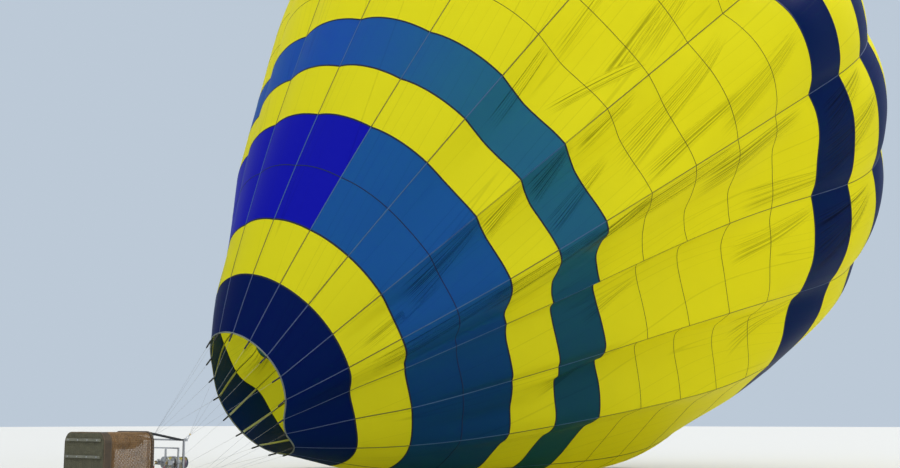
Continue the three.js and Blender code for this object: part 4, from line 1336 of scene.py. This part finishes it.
def cylinder_fittings():
    """Valve with its hand wheel, contents gauge and relief valve inside the collar."""
    top = CYLINDER["height"] - 0.012
    valve = lathe_form([
        (0, 0), (0.024, 0), (0.024, 0.014), (0.016, 0.018), (0.016, 0.040), (0.010, 0.044),
        (0.010, 0.052), (0.021, 0.054), (0.024, 0.060), (0.021, 0.068), (0, 0.070),
    ], 20, ((0.035, 0.012, top), (0, 0, 1)))
    outlet = lathe_form([
        (0, 0), (0.012, 0), (0.012, 0.026), (0.015, 0.028), (0.015, 0.042), (0, 0.042),
    ], 16, ((0.035, 0.020, top + 0.028), (-0.35, 1, 0)))
    gauge = lathe_form([
        (0, 0), (0.026, 0), (0.026, 0.016), (0.022, 0.020), (0, 0.020),
    ], 24, ((-0.038, -0.020, top), (0, 0, 1)))
    relief_valve = lathe_form([
        (0, 0), (0.013, 0), (0.013, 0.022), (0.009, 0.024), (0.009, 0.034), (0, 0.036),
    ], 16, ((-0.020, 0.045, top), (0, 0, 1)))
    return [valve, outlet, gauge, relief_valve]


def strap_form(height):
    radius, half = CYLINDER["radius"] + 0.0005, STRAP["width"] / 2
    outer = radius + STRAP["thickness"]
    return lathe_form([
        (radius, height + half), (outer, height + half - 0.001),
        (outer, height - half + 0.001), (radius, height - half),
    ], 56)


def make_cylinders():
    inset = BASKET["wall"] + SEAT_GAP + CYLINDER["radius"] + CYLINDER["clear"]
    heights = CYLINDER["height"] - 0.020 + np.array([0, 0.030, 0.042, 0.078, 0.092, 0.106])
    collar = pierced_wall(CYLINDER["collar"], 0.004, heights, 48, (2, 3), 16, 9)
    straps, buckles = [], []
    for index, (sx, sy) in enumerate(CORNERS, 1):
        place = (
            sx * (BASKET["width"] / 2 - inset), sy * (BASKET["length"] / 2 - inset),
            FLOOR_THICKNESS + SEAT_GAP,
        )
        turn = math.atan2(-sy, -sx)
        lip = lathe_form(
            [(CYLINDER["collar"] - 0.002 + x, heights[-1] + z) for x, z in round_section(0.004, 10)], 48,
        )
        forms = [cylinder_body(), collar, lip]
        basket_piece(
            f"cylinder_shell_{index}", [moved(form, place, turn) for form in forms],
            "balloon", "cylinder_alloy", "cylinder_alloy", f"fuel_cylinder_{index}",
        )
        basket_piece(
            f"cylinder_fittings_{index}", [moved(form, place, turn) for form in cylinder_fittings()],
            "balloon", "steel", "brass",
        )
        for height in STRAP["heights"]:
            straps.append(moved(strap_form(height), place))
            buckle = block_form(STRAP["buckle"], (CYLINDER["radius"] + 0.006, 0, height))
            buckles.append(moved(buckle, place, turn))
    basket_piece("cylinder_straps", straps, "balloon", "upright_cover", "strap")
    basket_piece("strap_buckles", buckles, "balloon", "steel", "steel", bevel=0.0015)


# Burner frame, gimbal and burner
def rounded_copy(node, name, width, body, slot, material):
    """A piece of the frame's own shape with its edges rounded, in the node's place."""
    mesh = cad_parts[node].data.copy()
    mesh.name = name
    obj = bpy.data.objects.new(name, mesh)
    bpy.context.scene.collection.objects.link(obj)
    shape = bmesh.new()
    shape.from_mesh(mesh)
    bmesh.ops.dissolve_limit(
        shape, angle_limit=math.radians(2), verts=shape.verts, edges=shape.edges,
    )
    shape.to_mesh(mesh)
    shape.free()
    round_edges(obj, width)
    return finish(obj, body, slot, material, node)


def make_burner_frame():
    for node, name, width, body in (
        ("burner_frame", "burner_frame_tube", 0.005, "balloon"),
        ("gimbal_ring", "gimbal_ring_tube", 0.004, "gimbal"),
        ("burner_carrier", "burner_carrier_bar", 0.004, "burner"),
    ):
        rounded_copy(node, name, width, body, "frame_steel", "frame_steel")


def helix(radius, low, high, turns, steps=32):
    turn = np.arange(turns * steps + 1) / steps * 2 * math.pi
    height = np.linspace(low, high, len(turn))
    return np.column_stack([radius * np.cos(turn), radius * np.sin(turn), height])


def can_forms():
    radius, lift, neck = CAN["radius"], CAN["lift"], CAN["neck"]
    top = lift + CAN["height"]
    levels = [lift + height for height in (0.004, 0.014, 0.030, 0.046, 0.10)] + [top - 0.05, top]
    wall = pierced_wall(radius, CAN["wall"], levels, 72, (1, 2), 4, 2)
    lip = lathe_form([(radius - 0.0015 + x, top + z) for x, z in round_section(0.0035, 10)], 72)
    band = lathe_form([
        (radius, top - 0.062), (radius + 0.002, top - 0.060), (radius + 0.002, top - 0.044),
        (radius, top - 0.042), (radius - 0.001, top - 0.052),
    ][::-1], 72)
    base = lathe_form([
        (0, 0), (neck, 0), (neck, lift - 0.016), (neck + 0.006, lift - 0.008), (radius - 0.012, lift),
        (radius, lift + 0.005), (radius - 0.003, lift + 0.008), (neck, lift + 0.006), (0, lift + 0.006),
    ], 48)
    return [wall, lip, band, base]


COIL = {"radius": 0.108, "tube": 0.0062, "foot": 0.070, "top": 0.255, "turns": 6}
MANIFOLD = {"radius": 0.062, "tube": 0.008, "height": 0.044, "post": 0.006}
JET_PROFILE = [(0, 0), (0.0045, 0), (0.0045, 0.014), (0.003, 0.020), (0, 0.020)]


def coil_forms():
    """Vaporising coil with its feed, ring of jets on three posts, and pilot, in a can."""
    lift = CAN["lift"]
    foot, top = lift + COIL["foot"], lift + COIL["top"]
    coil = tube_form(helix(COIL["radius"], foot, top, COIL["turns"]), COIL["tube"], 8)
    feed = tube_form([
        (COIL["radius"], 0, foot), (COIL["radius"], -0.010, lift + 0.05), (0.09, -0.014, lift + 0.03),
        (0.05, 0, lift + 0.012),
    ], COIL["tube"], 8, up=(0, 1, 0.1))
    radius, height = MANIFOLD["radius"], lift + MANIFOLD["height"]
    turn = circle_angles(48)
    circle = np.column_stack([radius * np.cos(turn), radius * np.sin(turn), np.full(48, height)])
    manifold = tube_form(circle, MANIFOLD["tube"], 10, closed=True)
    jets = [lathe_form(JET_PROFILE, 10, ((x, y, z + 0.004), (0, 0, 1))) for x, y, z in circle[::3]]
    posts = [
        tube_form([(radius * c, radius * s, lift + 0.004), (radius * c, radius * s, height)],
                  MANIFOLD["post"], 10, up=(1, 0.2, 0))
        for c, s in ((1, 0), (-0.5, 0.866), (-0.5, -0.866))
    ]
    pilot = lathe_form([
        (0, lift), (0.014, lift), (0.014, lift + 0.07), (0.011, lift + 0.07), (0.011, lift + 0.06),
        (0, lift + 0.06),
    ], 20)
    return [coil, feed, manifold, pilot, *jets, *posts]


LEVER_PIVOT = [(0, 0), (0.016, 0), (0.016, 0.016), (0.010, 0.020), (0.010, 0.030), (0, 0.030)]
INLET = [(0, 0), (0.012, 0), (0.012, 0.012), (0.009, 0.012), (0.009, 0.030), (0.006, 0.030), (0, 0.030)]
DIAL = [
    (0, 0), (0.010, 0), (0.010, 0.010), (0.031, 0.012), (0.033, 0.016), (0.033, 0.030),
    (0.029, 0.032), (0.028, 0.028), (0, 0.028),
]
DIAL_GLASS = [(0, 0.0285), (0.028, 0.0285), (0.028, 0.0300), (0, 0.0305)]
# Lever and grip: how far out, how far below the valve block
LEVER = [(0, 0.022), (0.02, 0.030), (0.05, 0.050), (0.085, 0.058)]
GRIP = [(0.075, 0.056), (0.080, 0.057), (0.130, 0.066), (0.136, 0.067)]


def make_burner():
    foot = BLOCK_TOP - VALVE_BLOCK["height"]
    levers, grips, dials, glasses = [], [], [], []
    for side, sy in (("near", 1), ("far", -1)):
        y = sy * CAN["offset"]
        place = (0, y, BLOCK_TOP + SEAT_GAP)
        for name, make_forms, material in (
            ("can", can_forms, "can_steel"), ("can_coil", coil_forms, "coil_steel"),
        ):
            basket_piece(
                f"{name}_{side}", [moved(form, place) for form in make_forms()],
                "burner", "can_steel", material, f"burner_can_{side}",
            )
        levers.append(lathe_form(LEVER_PIVOT, 20, ((0, y, foot), (0, 0, -1))))
        levers.append(tube_form([(x, y, foot - drop) for x, drop in LEVER], 0.005, 10, up=(0, 1, 0)))
        grips.append(tube_form(
            [(x, y, foot - drop) for x, drop in GRIP], 0.011, 14, up=(0, 1, 0), scale=[0.75, 1, 1, 0.7],
        ))
        for x in (-0.024, 0.024):
            levers.append(lathe_form(INLET, 16, ((x, y + sy * 0.030, foot), (0, 0, -1))))
        axis = ((-VALVE_BLOCK["width"] / 2, y, foot + 0.055), (-1, 0, 0))
        dials.append(lathe_form(DIAL, 32, axis))
        glasses.append(lathe_form(DIAL_GLASS, 32, axis))
    basket_piece("burner_levers", levers, "burner", "steel", "brass")
    basket_piece("lever_grips", grips, "burner", "steel", "red_grip")
    basket_piece("burner_dials", dials, "burner", "steel", "steel")
    basket_piece("dial_faces", glasses, "burner", "steel", "dial_face")


def make_uprights():
    for index, (sx, sy) in enumerate(CORNERS, 1):
        foot = np.array([
            sx * (BASKET["width"] - BASKET["wall"]) / 2, sy * (BASKET["length"] / 2 - BASKET["corner"]),
            RIM_TOP + SEAT_GAP,
        ])
        head = np.array([
            sx * FRAME["width"] / 2, sy * (FRAME["length"] / 2 - UPRIGHT["inset"]),
            FRAME["z"] - FRAME["tube"] / 2 - SEAT_GAP,
        ])
        t = np.linspace(0, 1, 90)
        path = foot + t[:, None] * (head - foot)
        ends = np.clip(np.minimum(t, 1 - t) / 0.03, 0, 1) ** 0.5
        pinches = np.abs(np.cos(math.pi * t * UPRIGHT["puffs"])) ** 10
        puffs = 1 - UPRIGHT["pinch"] * pinches + UPRIGHT["uneven"] * np.sin(t * 83 + index)
        cover = tube_form(path, UPRIGHT["radius"], 20, up=(0, 1, 0), scale=(0.72 + 0.28 * ends) * puffs)
        piece = basket_piece(
            f"upright_cover_{index}", [cover], "balloon", "upright_cover", "upright_cover",
            f"upright_{index}",
        )
        side = np.array([-sx, 0.0, 0.0])
        zip_path = path[4:-4] + side * (UPRIGHT["radius"] * 0.93)
        zip_strip = sweep_form(zip_path, superellipse(*UPRIGHT_ZIP, 8, 4), up=side)
        basket_piece(f"upright_zip_{index}", [zip_strip], "balloon", "upright_cover", "strap")


# Rigging between the burner frame and the mouth
def tapes_of(sx, sy):
    angles = [math.radians(FIRST_TAPE_ANGLE + gore * 360 / GORES) for gore in range(GORES)]
    return [
        gore for gore, angle in enumerate(angles)
        if (math.cos(angle) > 0) == (sx < 0) and (math.sin(angle) > 0) == (sy < 0)
    ]


THIMBLE = {"reach": 0.018, "half_width": 0.012, "narrowing": 0.35, "over": 0.006}
# Along a wire: its ends from the thimble and the hem, the ferrule's places from the thimble and
# the sleeve's from the hem, each with its thickness
WIRE_ENDS = {"thimble": 0.034, "hem": 0.10}
FERRULE_RADIUS = 0.0065
FERRULE = [(0.036, 0.75), (0.039, 1), (0.062, 1), (0.065, 0.75)]
SLEEVE_OUTLINE = [
    (-0.004, 0.9), (0.010, 1.15), (0.03, 1), (SLEEVE["length"] - 0.03, 0.95), (SLEEVE["length"], 0.55),
]
# Karabiner's gate: place along it, thickness
GATE_RADIUS = 0.0092
GATE = [(-0.020, 0.8), (-0.017, 1), (0.024, 1), (0.027, 0.8)]


def thimble_eye(start, away, normal):
    """Closed loop of wire from a place in this direction, flat across the normal."""
    turn = circle_angles(20)
    reach = THIMBLE["reach"] * (1 - np.cos(turn))
    width = THIMBLE["half_width"] * np.sin(turn) * (1 - THIMBLE["narrowing"] * reach / (2 * THIMBLE["reach"]))
    return start + np.outer(reach - THIMBLE["over"], away) + np.outer(width, unit(np.cross(away, normal)))


def karabiner_forms(centre, turn, half, half_width):
    """Ring and gate of a karabiner, turned to its wires."""
    angle = circle_angles(48)
    ring = np.column_stack([np.sin(angle) * half_width, np.zeros(48), np.cos(angle) * half])
    gate = np.array([(half_width, 0, z) for z, _ in GATE])
    return [
        tube_form(ring @ turn.T + centre, KARABINER["bar"], 12, closed=True, up=turn[:, 1]),
        tube_form(gate @ turn.T + centre, GATE_RADIUS, 16, up=turn[:, 1], scale=[share for _, share in GATE]),
    ]


def make_rigging():
    half = KARABINER["length"] / 2 - KARABINER["bar"]
    half_width = KARABINER["width"] / 2 - KARABINER["bar"]
    frame_top = FRAME["z"] + FRAME["tube"] / 2
    for index, (sx, sy) in enumerate(CORNERS, 1):
        ends = [to_basket(hem_point(gore, HEM_RADIUS / 2)) for gore in tapes_of(sx, sy)]
        foot = np.array([sx * FRAME["width"] / 2, sy * FRAME["length"] / 2, frame_top + KARABINER["lift"]])
        pull = unit(np.mean(ends, axis=0) - foot)
        turn = np.array(Vector((0, 0, 1)).rotation_difference(Vector(pull)).to_matrix())
        centre = foot + pull * half
        basket_piece(
            f"karabiner_ring_{index}", karabiner_forms(centre, turn, half, half_width),
            "balloon", "steel", "steel", f"karabiner_{index}",
        )
        thimble = centre + pull * half
        wires, sleeves, ferrules = [], [], []
        for end in ends:
            back = unit(thimble - end)
            line = [thimble - back * WIRE_ENDS["thimble"], end + back * WIRE_ENDS["hem"]]
            wires.append(tube_form(line, WIRE_RADIUS, 6))
            eye = thimble_eye(thimble, -back, turn[:, 1])
            wires.append(tube_form(eye, WIRE_RADIUS, 6, closed=True, up=turn[:, 1]))
            ferrules.append(tube_form(
                [thimble - back * d for d, _ in FERRULE], FERRULE_RADIUS, 10,
                scale=[share for _, share in FERRULE],
            ))
            sleeves.append(tube_form(
                [end + back * d for d, _ in SLEEVE_OUTLINE], SLEEVE["radius"], 10,
                scale=[share for _, share in SLEEVE_OUTLINE],
            ))
        for name, forms, slot, material in (
            ("wires", wires, "wire_sleeve", "wire"), ("wire_ferrules", ferrules, "steel", "brass"),
            ("wire_sleeves", sleeves, "wire_sleeve", "rubber"),
        ):
            basket_piece(f"{name}_{index}", forms, "balloon", slot, material, f"flying_wires_{index}")


PATCHES = {name: make_patch(first, columns) for name, first, columns in SIDES}

make_camera()
make_stage()
make_cloth()
make_tapes()
make_hem()
make_crown()
make_valve()
make_wicker()
make_floor()
make_floor_weave()
make_runners()
make_hide_band()
make_rim()
make_cylinders()
make_burner_frame()
make_burner()
make_uprights()
make_rigging()
